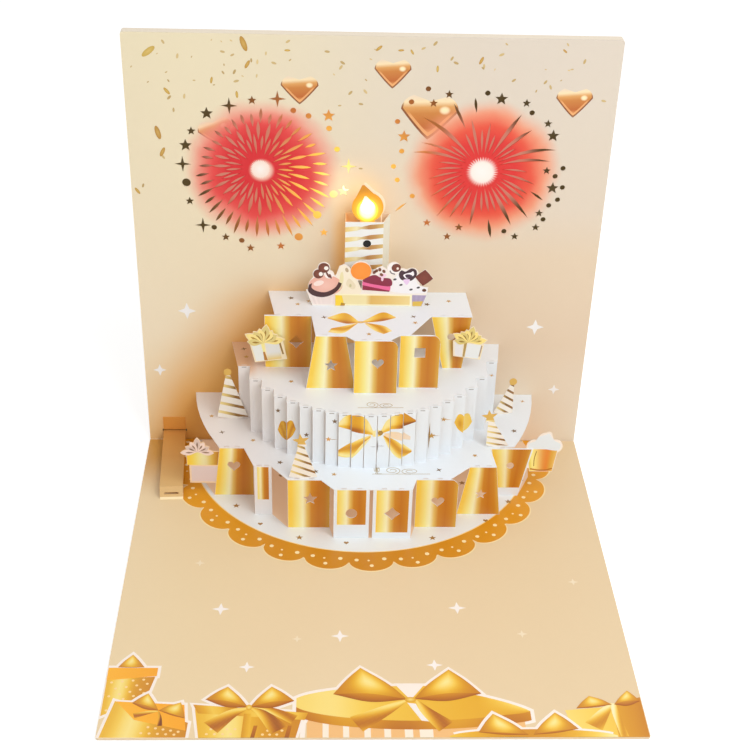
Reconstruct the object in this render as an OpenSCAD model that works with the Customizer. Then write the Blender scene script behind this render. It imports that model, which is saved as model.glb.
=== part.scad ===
// Musical pop-up birthday card, stored open at a right angle. A thin base lies flat, a hollow
// back panel with the sound and light parts stands up from the fold, and a three-tier cake of
// folded paper opens between the two, so every face of it is level or parallel to the back.
// Inside at_fold(), x runs across the card, y = 0 is the printed face of the back with the
// viewer towards minus y, and z = 0 is the printed face of the base. Lengths are millimetres.

/* [Card] */
// Width of the card from side to side
card_w = 200; // [180:1:230]
// Length of the base from the fold to its front edge
base_l = 192; // [170:1:230]
// Height of the back panel above the base
back_h = 192; // [170:1:230]
// Radius of the outer corners
corner_r = 1; // [1:0.5:6]
// Thickness of the folded cover sheet
cover_t = 0.5; // [0.3:0.05:0.6]
// Thickness of the printed sheet on the base
base_lining_t = 0.4; // [0.3:0.05:0.6]
// Thickness of the printed sheet on the front of the back panel
back_lining_t = 0.5; // [0.3:0.05:0.6]
// Depth of the hollow inside the back panel
hollow_t = 4; // [4:0.1:6]
// Width of the board strips around the hollow
spacer_w = 5.5; // [4:0.5:8]
// Width of the bare strip of cover along the fold
gutter_w = 1.2; // [0.6:0.1:2]

/* [Cake] */
// Height of the lower tier's top sheet
tier_1_h = 25.5; // [20:0.5:32]
// Height of the middle tier's top sheet
tier_2_h = 52.4; // [46:0.2:60]
// Height of the upper tier's top sheet
tier_3_h = 78.4; // [72:0.2:86]
// Half the width of the lower tier where it meets the back
tier_1_half_w = 77.5; // [75:0.5:82]
// Half the width of the middle tier where it meets the back
tier_2_half_w = 60.2; // [59:0.2:64]
// Half the width of the upper tier where it meets the back
tier_3_half_w = 43.5; // [43:0.5:46]
// Distance from the back to the foremost slat of the middle tier
slat_reach = 60; // [56:0.2:62]
// Half the width of the oval that the slats stand on
slat_half_w = 57.4; // [57:0.2:60]
// Number of slats around the middle tier
slat_n = 21; // [15:2:21]
// Spacing of the slats across the card
slat_pitch = 5.46; // [4.8:0.02:5.5]
// Slit between one slat and the next
slat_slit = 0.3; // [0.2:0.05:0.8]
// Thickness of the cake's paper
paper_t = 0.35; // [0.25:0.05:0.5]
// Length of the glued flap at the foot of each upright
flap_l = 4.5; // [3:0.5:6]
// Length of the perforations along the folds
perf_l = 2.3; // [1:0.1:2.5]
// Width of the perforations along the folds
perf_w = 0.6; // [0.3:0.05:0.7]

/* [Candle] */
// Height of the candle's top above the base
candle_top = 116; // [108:1:122]
// Distance from the back to the candle's front face
candle_y = 9; // [7:0.5:10.5]
// Radius of the round part of the flame
flame_r = 6.6; // [5:0.1:7.5]
// Height of the flame from its foot to its tip
flame_h = 16.5; // [14:0.5:20]
// Diameter of the microphone
mic_d = 4; // [3.5:0.1:4.5]
// Diameter of the lamp behind the flame
led_d = 3; // [2.5:0.1:3.5]

/* [Fireworks] */
// Outer radius of the left burst's strokes
burst_1_r = 29; // [24:1:31]
// Outer radius of the right burst's strokes
burst_2_r = 31; // [24:1:32]
// Height of both bursts' centres above the base
burst_z = 135.5; // [125:0.5:140]
// Distance of the bursts' centres from the card's middle
burst_x = 46.5; // [42:0.5:50]

/* [Hidden] */
$fn = 48;
eps = 0.01;
base_t = cover_t + base_lining_t;
back_t = back_lining_t + hollow_t + cover_t;
// Inner face of the cover at the rear of the hollow
rear_y = back_lining_t + hollow_t;

// Uprights of the lower tier: left and right edge at the foot, left and right edge at the
// top, distance from the back, radius of the top right corner, and the window's shape, place
// and size
lower_row = [
    [-67, -49.5, -64, -49.5, 45, 4, "heart", [-58, 16], 5.6],
    [-48.5, -41, -48.5, -41, 59, 0, "none", [0, 0], 0],
    [-34, -16, -34, -16, 68.6, 4, "star", [-24.5, 15.5], 3.2],
    [-14.5, 0.5, -14.5, 0.5, 75.5, 0, "round", [-7, 13], 2.4],
    [2, 18.5, 2, 18.5, 75.5, 0, "diamond", [10.2, 13], 3.4],
    [20.5, 38.5, 20.5, 38.5, 68, 4, "heart", [30, 14], 5.6],
    [39.5, 58.5, 44, 55.5, 58.5, 0, "star", [49.5, 11], 2.6],
    [59, 68, 54, 73, 44.5, 0, "round", [63.5, 16.5], 1.6]
];
// Uprights of the upper tier, in the same order
upper_row = [
    [-44.5, -24.4, -44.5, -24.4, 22, 0, "diamond", [-31, 13], 3.2],
    [-26.6, -5.5, -22.5, -9.9, 39.2, 0, "star", [-16, 11.5], 3],
    [-6.3, 12, -6.3, 12, 42.9, 4, "heart", [3.6, 15], 5.2],
    [13, 30, 13, 30, 38.2, 4, "square", [21.5, 17.5], 4.6],
    [33, 41.5, 27, 44.7, 21.7, 0, "round", [36, 16], 1.6]
];

// Distance from the back to the upper gifts
gift_y = 24;

// Strap that works the switch: middle, width, height of its run and reach from the back
strap_x = 11.7 - card_w / 2;
strap_w = 10.2;
strap_z = 4.3;
strap_y = 45;
strap_turn = 3;

// Board and battery places inside the hollow
board_left = 8 - card_w / 2;
board_w = 46;
board_z = 27;
board_h = 30;
board_t = 0.8;
cell_d = 11.6;
cell_t = 3.05;
clip_t = 0.2;
blade_foot_y = rear_y - board_t - clip_t;
cell_x = board_left + board_w + 8;
cell_z = 32;
cell_pitch = 12.2;
speaker_d = 28;
speaker_x = 45;
speaker_z = 34;
wire_t = 0.6;
wire_x = -1;
panel_led_x = -10;
led_z = candle_top + 8;
mic_z = candle_top - 10;

// Places of the drawing's parts

// Moves from the fold's own axes to the part's, whose origin is below the middle of the card
module at_fold() translate([0, (base_l - back_t) / 2, base_t]) children();

// A sheet drawn in x and y whose top is at z
module lying(z, t) translate([0, 0, z - t]) linear_extrude(t) children();

// A sheet drawn in x and z whose front is at y
module standing(y, t) translate([0, y + t, 0]) rotate([90, 0, 0]) linear_extrude(t) children();

// A strip from x0 to x1 whose section is drawn in y and z
module across(x0, x1) translate([x0, 0, 0]) rotate([90, 0, 90]) linear_extrude(x1 - x0) children();

// Unit normal on the left of the step from a to b
function left_of(a, b) = let (d = (b - a) / norm(b - a)) [-d.y, d.x];

// Point i of the path p, moved t to the left of the path and mitred at the folds
function mitred(p, i, t) =
    i == 0 ? p[0] + t * left_of(p[0], p[1])
    : i == len(p) - 1 ? p[i] + t * left_of(p[i - 1], p[i])
    : let (n = left_of(p[i - 1], p[i]), m = left_of(p[i], p[i + 1])) p[i] + t * (n + m) / (1 + n * m);

// Section of a folded sheet t thick whose outer side follows the path p
function folded(p, t) = concat(p, [for (i = [len(p) - 1:-1:0]) mitred(p, i, t)]);

// Points of an arc around c from angle a0 to a1
function arc(c, r, a0, a1, n) = [for (i = [0:n]) c + r * [cos(a0 + (a1 - a0) * i / n), sin(a0 + (a1 - a0) * i / n)]];

// Star with n points, whose valleys lie at k times its radius
function star(r, n, k) = [for (i = [0:2 * n - 1]) (i % 2 == 0 ? r : k * r) * [-sin(180 * i / n), cos(180 * i / n)]];

// Heart w wide, on the sine curve
function heart(w) = [for (t = [0:15:345])
    w / 32 * [-16 * pow(sin(t), 3), 13 * cos(t) - 5 * cos(2 * t) - 2 * cos(3 * t) - cos(4 * t)]];

// Leaf from the origin, l long and w wide, pointing along angle a
function leaf(l, w, a) = [for (i = [0:11]) let (s = i < 7 ? i / 6 : (12 - i) / 6, side = i < 7 ? -1 : 1)
    l * s * [cos(a), sin(a)] + side * w / 2 * sin(180 * pow(s, 1.4)) * [-sin(a), cos(a)]];

// Sheet of the card whose far corners are rounded
module panel(w, l, r) {
    translate([-w / 2, 0]) square([w, l - r]);
    translate([-w / 2 + r, 0]) square([w - 2 * r, l]);
    for (side = [-1, 1]) translate([side * (w / 2 - r), l - r]) circle(r);
}

// Outline of the back panel, inset all round by i, in x and z
module back_outline(i) translate([0, -base_lining_t]) panel(card_w - 2 * i, back_h + base_lining_t - i, max(corner_r - i, 0.5));

// Card and its hollow back

module cover() color("Wheat") at_fold() {
    lying(-base_lining_t, cover_t) translate([0, back_t]) mirror([0, 1]) panel(card_w, base_l + back_t, corner_r);
    difference() {
        standing(back_lining_t, hollow_t + cover_t) back_outline(0);
        standing(back_lining_t - eps, hollow_t + eps) back_outline(cover_t);
    }
}

module base_lining() color("BurlyWood") at_fold()
    lying(0, base_lining_t) translate([0, -gutter_w]) mirror([0, 1]) panel(card_w, base_l - gutter_w, corner_r);

// One tapered spark from radius r0 to r1 at angle a, w wide, that droops the more it leans over
module spark(a, r0, r1, w, droop) {
    n = 5;
    mid = [for (i = [0:n]) let (r = r0 + (r1 - r0) * i / n)
        [r * cos(a), r * sin(a) - droop * pow(r, 2) * abs(cos(a)) / 1000]];
    half = [for (i = [0:n]) w / 2 * sin(180 * pow(i / n, 1.2)) * [-sin(a), cos(a)]];
    polygon(concat([for (i = [0:n]) mid[i] - half[i]], [for (i = [n - 1:-1:1]) mid[i] + half[i]]));
}

// Left burst: three rings of leaf-shaped sparks, the outer one longer at the right and below
module burst_leaves() {
    for (i = [0:25]) let (a = 360 * i / 26) spark(a, 7 + sin(137 * i), 15 + sin(211 * i), 1.1, 4);
    for (i = [0:25]) let (a = 360 * (i + 0.5) / 26)
        spark(a, 11.5 + sin(137 * i), 21 + sin(211 * i) + 1.5 * cos(a), 1.5, 4);
    for (i = [0:37]) let (a = 360 * (i + 0.2) / 38, far = 3.4 * cos(a + 50))
        spark(a, burst_1_r - 8.3 + 0.5 * far + sin(137 * i), burst_1_r - 1 + far + sin(211 * i), 1.4, 4);
}

// Right burst: long drooping sparks, each by its angle, where it starts and ends, and its width
module burst_sparks() {
    sparks = [[0, 7.5, 23, 1.2], [12, 8.5, 20, 1], [27, 7.5, 32, 1.6], [36, 8, 38, 1.8], [44, 8.5, 19, 1],
        [52, 7.5, 32, 1.7], [64, 8, 34, 1.8], [75, 8.5, 18, 1], [84, 7.5, 22, 1.1], [93, 8.5, 19, 1],
        [98, 27, 34, 1.2], [103, 7.5, 25, 1.2], [111, 22, 37, 1.3], [113, 8.5, 20, 1], [126, 7.5, 43, 1.8],
        [134, 8.5, 20, 1], [140, 8, 34, 1.2], [147, 7.5, 35, 1.6], [157, 8.5, 20, 1], [166, 7.5, 20, 1.1],
        [176, 8, 22, 1.1], [188, 31, 36, 1.1], [187, 7.5, 20, 1.1], [198, 8.5, 22, 1.1], [210, 7.5, 19, 1],
        [222, 8, 24, 1.1], [236, 7.5, 22, 1.5], [248, 8.5, 20, 1], [262, 7.5, 24, 1.3], [274, 8.5, 18, 1],
        [284, 7.5, 18, 1.1], [282, 21, 29, 1.4], [294, 8.5, 18, 1], [305, 7.5, 25, 1.8], [315, 8.5, 18, 1],
        [325, 7.5, 26, 1.8], [337, 8, 21, 1.2], [345, 8.5, 21, 1.3], [350, 21.5, 27.5, 1.2]];
    for (s = sparks) spark(s[0], s[1], s[2] * burst_2_r / 31, s[3], 10.5);
}

// Shapes of one kind and size, r to their tips, at places from a burst's centre
module scattered(kind, r, places) for (p = places) translate(p)
    if (kind == "star") polygon(star(r, 5, 0.45));
    else if (kind == "sparkle") polygon(star(r, 4, 0.26));
    else circle(r, $fn = 16);

// Stars, four-point sparkles and dots round each burst
module burst_1_ring() {
    scattered("star", 2.8, [[28.8, 23.4], [35.3, -9.6], [-30, 9.8], [-20.8, 23.6]]);
    scattered("star", 2, [[-2.3, 29.4], [27.2, -28.8], [8.7, -35.4], [-4.3, -36.5], [-14.8, -31.5], [-29.4, -15], [-27.4, 16]]);
    scattered("sparkle", 3.6, [[8, 30.2], [37.3, 1.5], [-24.3, -26], [-31.6, 1.6], [-11.6, 27]]);
    scattered("dot", 1.8, [[31.2, -11], [24.3, -20.6], [16.4, -31], [-30.4, -6.6]]);
    scattered("dot", 1.2, [[14.4, 25.4], [20.6, 23.2], [29, 18], [32.4, 9], [-8, -33], [-19.6, -27]]);
}

module burst_2_ring() {
    scattered("star", 2.8, [[-33.1, 15], [28.6, 16.2], [30.6, -7], [6, 31.6]]);
    scattered("star", 1.9, [[-15.4, 33.2], [-21.6, 29.4], [16.4, 30], [26, 21.4], [27.4, 0.8], [26, -18.6], [25.1, -25.2], [16.4, -29.6],
        [-8, -25.6], [-12.8, -30], [-21.8, -23.6]]);
    scattered("dot", 1.1, [[-24, 35.4], [-30.6, 29.8], [19, 26], [34.2, 2], [31.2, -1.6], [34.8, -6.6], [33.3, -12.2], [29.8, -14.9],
        [-28.6, -11.4], [-35.2, -4.2], [-37, 1.8], [-33.8, 8.6], [-36, 21.4], [11.6, -27.2], [28, -21.4], [0.2, 34]]);
}

module back_lining() color("PeachPuff") at_fold() difference() {
    standing(0, back_lining_t) difference() {
        back_outline(0);
        translate([-burst_x, burst_z]) {
            burst_leaves();
            burst_1_ring();
        }
        translate([burst_x, burst_z]) {
            burst_sparks();
            burst_2_ring();
        }
        // Slot for the strap's tongue
        translate([strap_x - strap_w / 2 - 0.6, strap_z - 0.4]) square([strap_w + 1.2, paper_t + 1]);
        // Holes for the leads of the lamp and the microphone
        for (z = [led_z, mic_z]) translate([wire_x, z]) circle(d = led_d);
    }
}

module spacer_frame() color("Tan") at_fold()
    standing(back_lining_t, hollow_t) difference() {
        back_outline(cover_t);
        translate([0, spacer_w]) back_outline_inner();
        // Notch that lets the strap's tongue in
        translate([strap_x - strap_w / 2 - 1.5, -base_lining_t - eps]) square([strap_w + 3, spacer_w + 1]);
    }

// Opening of the spacer frame
module back_outline_inner() {
    w = card_w - 2 * cover_t - 2 * spacer_w;
    translate([-w / 2, -base_lining_t]) square([w, back_h + base_lining_t - cover_t - 2 * spacer_w]);
}

// Cake tiers

// Window cut in an upright
module window(kind, size)
    if (kind == "heart") polygon(heart(size));
    else if (kind == "star") polygon(star(size, 5, 0.45));
    else if (kind == "diamond") polygon(star(size, 4, 0.62));
    else if (kind == "square") translate([-size / 2, -size / 2]) square(size);
    else if (kind == "round") circle(size);

// Face of one upright of height h: p as in the lists above, with its top right corner rounded
module upright_face(p, h) difference() {
    polygon(concat([[p[0], 0], [p[1], 0]],
        p[5] > 0 ? arc([p[3] - p[5], h - p[5]], p[5], 0, 90, 6) : [[p[3], h]], [[p[2], h]]));
    if (p[6] != "none") translate(p[7]) window(p[6], p[8]);
}

// Row of uprights from z0 up to z1, each with the flap that is glued to the sheet below
module uprights(row, z0, z1) for (p = row) {
    translate([0, 0, z0]) standing(-p[4], paper_t) upright_face(p, z1 - z0);
    across(max(p[0], p[2]) + 1, min(p[1], p[3]) - 1)
        polygon(folded([[-p[4], z0 + 2], [-p[4], z0], [-p[4] + flap_l, z0]], paper_t));
}

// Perforations along the top folds of a row of uprights, two to each
module row_perforations(row) for (p = row, s = [0.28, 0.72]) let (w = p[3] - p[2] - p[5])
    translate([p[2] + w * s - perf_l / 2, -p[4] + 0.5]) square([perf_l, perf_w]);

// Flap that joins a tier's top sheet to the back panel
module rear_flap(half_w, z) translate([0, -paper_t, 0])
    across(-half_w + 3, half_w - 3) translate([0, z - 2 * flap_l]) square([paper_t, 2 * flap_l]);

// Outer edge of a tier beside the back: an arc that leaves the back a little off square
function wing(half_w, r, reach) = let (a0 = 4, a1 = asin(sin(a0) + reach / r))
    [for (i = [0:6]) let (a = a0 + (a1 - a0) * i / 6) [half_w - r * (cos(a0) - cos(a)), -r * (sin(a) - sin(a0))]];
function mirrored(p) = [for (i = [len(p) - 1:-1:0]) [-p[i].x, p[i].y]];

// Front edge of a top sheet over a row of uprights, from right to left
function row_edge(row) = [for (i = [len(row) - 1:-1:0]) each [[row[i][3] - row[i][5], -row[i][4]], [row[i][2], -row[i][4]]]];

module tier_1() color("WhiteSmoke") at_fold() {
    // The outermost uprights reach past the sheet, whose wings stop just short of them
    inner = row_edge(lower_row);
    last = len(inner) - 1;
    lying(tier_1_h, paper_t) difference() {
        polygon(concat(wing(tier_1_half_w, 104, 43), [for (i = [1:last - 1]) inner[i]],
            [[lower_row[0][2], -lower_row[0][4]]], mirrored(wing(tier_1_half_w, 104, 40))));
        row_perforations(lower_row);
    }
    uprights(lower_row, 0, tier_1_h);
    rear_flap(tier_1_half_w, tier_1_h);
}

// Left edge and distance from the back of slat i
function slat_x(i) = (i - slat_n / 2) * slat_pitch + 0.8;
function slat_y(i) = slat_reach * sqrt(1 - pow((slat_x(i) + slat_pitch / 2) / slat_half_w, 2));

module tier_2() color("White") at_fold() {
    edge = [for (i = [slat_n - 1:-1:0]) each [[slat_x(i) + slat_pitch, -slat_y(i)], [slat_x(i), -slat_y(i)]]];
    lying(tier_2_h, paper_t) difference() {
        polygon(concat([[tier_2_half_w, 0]], edge, [[-tier_2_half_w, 0]]));
        for (i = [0:slat_n - 1])
            translate([slat_x(i) + (slat_pitch - perf_l) / 2, -slat_y(i) + 0.5]) square([perf_l, perf_w]);
    }
    for (i = [0:slat_n - 1]) across(slat_x(i) + slat_slit / 2, slat_x(i) + slat_pitch - slat_slit / 2)
        polygon(folded([[-slat_y(i), tier_2_h], [-slat_y(i), tier_1_h], [-slat_y(i) + flap_l, tier_1_h]], paper_t));
    rear_flap(tier_2_half_w, tier_2_h);
}

module tier_3() color("WhiteSmoke") at_fold() {
    p = upper_row;
    lying(tier_3_h, paper_t) difference() {
        // Over the fourth upright the sheet is only joined at the left end
        polygon(concat([[tier_3_half_w, 0], [p[4][3], -p[4][4]], [p[4][2], -p[4][4]],
            [p[3][2] + 4, -p[3][4]], [p[3][2], -p[3][4]], [p[2][3] - p[2][5], -p[2][4]], [p[2][2], -p[2][4]],
            [p[1][3], -p[1][4]], [p[1][2], -p[1][4]], [p[0][3], -p[0][4]], [p[0][2] + 4.5, -p[0][4]],
            [-tier_3_half_w, 0]]));
        row_perforations([p[0], p[1], p[2], p[4]]);
    }
    uprights(p, tier_2_h, tier_3_h);
    rear_flap(tier_3_half_w, tier_3_h);
}

// Candle and sweets

module candle() color("Ivory") at_fold() difference() {
    // Front with a square left wall, a splayed right wall and a glued flap turned in at each
    translate([0, 0, tier_3_h]) linear_extrude(candle_top - tier_3_h)
        polygon(folded([[-6.3, 0], [-10.3, 0], [-10.3, -candle_y], [5.8, -candle_y], [8.9, 0], [4.9, 0]], paper_t));
    translate([wire_x, 0, mic_z]) rotate([90, 0, 0]) cylinder(h = candle_y + 1, d = mic_d - 0.5);
}

// Flame outline: a disc drawn up to a tip that leans to the left
module flame_shape(r, h) {
    circle(r);
    lean = -0.12 * h;
    side = 0.97 * r * [cos(28), sin(28)];
    polygon([[0, 0], side, [lean + 0.4, h - r], [lean - 0.4, h - r], [-side.x, side.y]]);
}

module flame() color("Goldenrod") at_fold() standing(-candle_y + paper_t, paper_t) {
    translate([wire_x - 0.1, candle_top + flame_r]) difference() {
        flame_shape(flame_r, flame_h);
        // Core that lets the lamp's light through
        flame_shape(flame_r * 0.47, flame_h * 0.5);
    }
    // Stem that is glued behind the candle's front
    translate([wire_x - 3, candle_top - 5]) square([6, 6]);
}

module flame_backing() color("LemonChiffon") at_fold() standing(-candle_y + 2 * paper_t, paper_t)
    translate([wire_x + 0.7, candle_top + flame_r + 0.8]) flame_shape(flame_r, flame_h);

// Outline of the printed row of sweets, in x and in height above the upper tier
module sweets_shape() {
    // Cupcake on the left with three round sweets
    translate([-18.4, 8.2]) circle(7.6);
    translate([-21.5, 15.2]) circle(2.5);
    translate([-19.2, 18.1]) circle(2.7);
    translate([-17, 14.8]) circle(2.2);
    polygon([[-26.8, 7.6], [-24, 0], [-12, 0], [-9.6, 8]]);
    // Dollop of cream and the round biscuit
    polygon([[-14.6, 5], [-3, 5], [-5, 14], [-8.6, 18.6], [-10.6, 19.9], [-12.6, 19], [-14.2, 14]]);
    translate([-3.4, 16.8]) circle(4.5);
    // Slice of cake with cream on top
    polygon([[-3.2, 6], [9.2, 6], [9.9, 13.5], [8.4, 17.2], [5.6, 19.2], [3.4, 18.4], [1.4, 15.6], [-2.6, 14]]);
    // Cream cake with a heart of glaze, a chocolate square and a paper cup
    translate([14.4, 10.4]) circle(7.6);
    translate([10.6, 18.3]) circle(2.9);
    translate([14.4, 15.6]) circle(2.6);
    translate([18.4, 15.6]) circle(2.9);
    translate([23.7, 13.9]) rotate(40) square(5.8, center = true);
    polygon([[6.7, 9], [10, 0], [23.4, 0], [25.8, 9.4]]);
    // Bare banner across the front
    translate([-14.4, 0]) square([33.5, 6.9]);
}

module sweets_panel() color("MistyRose") at_fold() translate([0, 0, tier_3_h]) {
    standing(-13, paper_t) sweets_shape();
    across(-22, 21) polygon(folded([[-13, 2], [-13, 0], [-13 + flap_l - 1, 0]], paper_t));
}

// Party hats

// Hat from x0 to x1 on the lower tier at distance y from the back, with its tip given in x and
// in height above the tier, and a ball or a star on it
module party_hat(x0, x1, y, tip, topper) color("Ivory") at_fold() {
    z0 = tier_1_h;
    mid = (x0 + x1) / 2;
    sag = 0.8;
    translate([0, 0, z0]) standing(-y, paper_t) {
        polygon(concat([for (i = [0:6]) let (s = i / 6) [x0 + (x1 - x0) * s, sag * (1 - sin(180 * s))]],
            [[tip.x + 0.5, tip.y], [tip.x - 0.5, tip.y]]));
        translate(tip) if (topper == "star") rotate(8) polygon(star(3.5, 5, 0.42)); else circle(1.7);
    }
    across(mid - 2.2, mid + 2.2) polygon(folded([[-y, z0 + 2], [-y, z0], [-y + 3, z0]], paper_t));
}

module hat_back_left() party_hat(-66.3, -52.6, 21.6, [-61.1, 23.9], "ball");
module hat_back_right() party_hat(58.2, 66.7, 16.6, [65.8, 17.1], "ball");
module hat_front_left() party_hat(-33.4, -21.6, 67.6, [-28.3, 18.8], "star");
module hat_front_right() party_hat(52.2, 62, 43.2, [52.8, 15.6], "star");

// Gifts and cupcake at the sides

// Fan of n looped ribbons from angle a0 to a1, with a knot
module ribbon_bow(n, l, a0, a1) {
    for (i = [0:n - 1]) polygon(leaf(l * (0.86 + 0.14 * cos(120 * i)), l * 0.42, a0 + (a1 - a0) * i / (n - 1)));
    circle(1.3);
}

module gift_upper_left() color("Gold") at_fold() translate([0, 0, tier_2_h]) standing(-gift_y, paper_t) {
    polygon([[-50.8, 12.3], [-48.8, 3.8], [-34.9, 5.5], [-36.6, 14.5]]);
    translate([-44.8, 13.4]) ribbon_bow(8, 9.2, 12, 176);
}

module gift_upper_right() color("Gold") at_fold() translate([0, 0, tier_2_h]) standing(-gift_y, paper_t) {
    polygon([[36.7, 15.4], [37.2, 7.7], [49.1, 6], [50.3, 13.4]]);
    translate([43.6, 14.6]) ribbon_bow(8, 8.2, 8, 172);
}

// Pad that fills the space between a gift and the upright p behind it
module foam_pad(p, corner, size) translate([0, 0, tier_2_h])
    standing(paper_t - gift_y, gift_y - paper_t - p[4]) translate(corner) square(size);

module foam_pad_left() color("White") at_fold() foam_pad(upper_row[0], [-43.5, 6.1], [6.5, 6.5]);
module foam_pad_right() color("White") at_fold() foam_pad(upper_row[4], [37.4, 8.8], [4, 5.4]);

module gift_lower_left() color("BurlyWood") at_fold() standing(-lower_row[0][4] + paper_t, paper_t) {
    // The right end goes behind the upright that carries the gift
    translate([-77.5, 6.4]) square([15, 9.6]);
    translate([-78.5, 15.9]) square([16, 7.3]);
    translate([-73.6, 22.8]) ribbon_bow(7, 7.6, -4, 184);
}

module cupcake_lower_right() color("Gold") at_fold() standing(-lower_row[7][4] + paper_t, paper_t) {
    polygon([[69.8, 25.2], [72.2, 13.2], [82.5, 13.2], [84, 25.2]]);
    // Tab behind the upright that carries the cupcake
    translate([65, 15]) square([7.5, 8.5]);
    // Swirl of cream, narrower towards the top
    translate([77.8, 26.6]) {
        translate([-4.6, 0]) circle(3.3);
        translate([4.6, 0]) circle(3.4);
        circle(3.6);
    }
    translate([77.9, 30]) circle(3.5);
    translate([79.2, 32.4]) circle(1.6);
}

// Strap and switch

module switch_strap() color("Wheat") at_fold() translate([strap_x, 0, 0]) rotate([0, 0, strap_turn])
    difference() {
        // Flap on the base, sloping riser, level run, and the tongue that turns up in the hollow
        across(-strap_w / 2, strap_w / 2)
            polygon(folded([[-strap_y + 5, paper_t], [-strap_y - 2.8, paper_t], [-strap_y, strap_z],
                [2.9, strap_z], [2.9, 14]], paper_t));
        translate([-strap_w / 2 + 2, -strap_y - 2.2, strap_z / 2 - 0.4]) cube([strap_w - 4, 2.4, 0.8]);
    }

module strap_guide() color("Tan") at_fold()
    standing(-0.3, 0.3) translate([strap_x - strap_w / 2, strap_z + paper_t + 0.6]) square([strap_w, 6.6]);

module switch_blade_front() color("Gold") at_fold() across(strap_x - 2, strap_x + 2) {
    polygon(folded([[blade_foot_y, 42], [blade_foot_y, 38], [2.1, 38], [2.1, 9]], clip_t));
    // Dimple that closes the circuit
    translate([2.1 + clip_t, 20]) polygon([[-0.1, -1.2], [0, -1.2], [0.8, -0.5], [0.8, 0.5], [0, 1.2], [-0.1, 1.2]]);
}

module switch_blade_rear() color("Gold") at_fold() across(strap_x - 2, strap_x + 2)
    polygon(folded([[blade_foot_y, 34], [blade_foot_y, 30], [3.1, 30], [3.1, 6]], clip_t));

// Sound and light parts

module circuit_board() color("DarkGreen") at_fold() standing(rear_y - board_t, board_t)
    translate([board_left, board_z]) square([board_w, board_h]);

module sound_chip() color("DimGray") at_fold() translate([-66, rear_y - board_t, 44]) rotate([90, 0, 0])
    rotate_extrude($fn = 96) intersection() {
        translate([0, -9.6]) circle(11);
        square([6, 2]);
    }

// One cell, whose place in the row of three is i
module button_cell(i) color("Silver") at_fold()
    translate([cell_x + i * cell_pitch, rear_y - clip_t, cell_z]) rotate([90, 0, 0]) {
        cylinder(h = cell_t - 0.5, d = cell_d);
        cylinder(h = cell_t, d = cell_d - 2);
    }

module button_cell_1() button_cell(0);
module button_cell_2() button_cell(1);
module button_cell_3() button_cell(2);

module battery_clip() color("Silver") at_fold() {
    left = board_left + board_w;
    right = cell_x + 2 * cell_pitch + cell_d / 2 + 1;
    front_y = rear_y - clip_t - cell_t;
    standing(rear_y - clip_t, clip_t) translate([left, cell_z - 4]) square([right - left, 8]);
    translate([0, 0, cell_z - 2.5]) linear_extrude(5)
        polygon(folded([[left, rear_y], [left, front_y - clip_t], [right + clip_t, front_y - clip_t],
            [right + clip_t, rear_y]], clip_t));
}

module speaker() color("Goldenrod") at_fold() translate([speaker_x, rear_y, speaker_z]) rotate([90, 0, 0])
    difference() {
        cylinder(h = 3.4, d = speaker_d);
        translate([0, 0, 2.6]) cylinder(h = 1, d = speaker_d - 4);
    }

module microphone() color("DimGray") at_fold() translate([wire_x, -candle_y + paper_t, mic_z]) rotate([-90, 0, 0]) {
    cylinder(h = 1.6, d = mic_d);
    for (side = [-1, 1]) translate([side * 0.8, 0, 1]) cylinder(h = candle_y - paper_t - 1 + rear_y - wire_t, d = 0.5, $fn = 16);
}

module flame_led() color("LightYellow") at_fold()
    translate([wire_x, -candle_y + 3 * paper_t, led_z]) rotate([-90, 0, 0]) {
        cylinder(h = 4.4, d = led_d);
        translate([0, 0, 3.6]) cylinder(h = 0.8, d = led_d + 0.8);
        for (side = [-1, 1]) translate([side * 0.8, 0, 4])
            cylinder(h = candle_y - 3 * paper_t - 4 + rear_y - wire_t, d = 0.5, $fn = 16);
    }

module panel_led() color("LightYellow") at_fold()
    translate([panel_led_x, rear_y - wire_t, led_z + 3]) rotate([90, 0, 0]) {
        cylinder(h = 0.8, d = led_d + 0.8);
        cylinder(h = 2.6, d = led_d);
    }

// Flat cable on the rear of the hollow, with a branch to each electric part
module ribbon_wire() color("DarkRed") at_fold() standing(rear_y - wire_t, wire_t) difference() {
    union() {
        translate([wire_x - 1.5, 50]) square([3, led_z - 50 + 4.5]);
        translate([panel_led_x - 2, led_z + 1.5]) square([wire_x - panel_led_x + 2, 3]);
        translate([board_left + board_w, 50]) square([speaker_x - board_left - board_w + 1.5, 3]);
        translate([speaker_x - 1.5, speaker_z]) square([3, 50 - speaker_z + 1]);
    }
    translate([speaker_x, speaker_z]) circle(d = speaker_d);
}

cover();
base_lining();
back_lining();
spacer_frame();
tier_1();
tier_2();
tier_3();
candle();
flame();
flame_backing();
sweets_panel();
hat_back_left();
hat_back_right();
hat_front_left();
hat_front_right();
gift_upper_left();
gift_upper_right();
foam_pad_left();
foam_pad_right();
gift_lower_left();
cupcake_lower_right();
switch_strap();
strap_guide();
circuit_board();
sound_chip();
battery_clip();
button_cell_1();
button_cell_2();
button_cell_3();
speaker();
switch_blade_front();
switch_blade_rear();
microphone();
flame_led();
panel_led();
ribbon_wire();
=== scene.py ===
"""Looks of the musical pop-up birthday card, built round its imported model.

Lengths are millimetres from the fold, with x to the right, y to the back and z up, and become
metres in the part's own frame when a mesh is placed. Broad tints are in the papers' shaders.
Printed pictures are thin closed films of ink on the papers, coloured by an attribute.
"""
import math

import bpy
import numpy as np
from mathutils import Matrix


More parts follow.
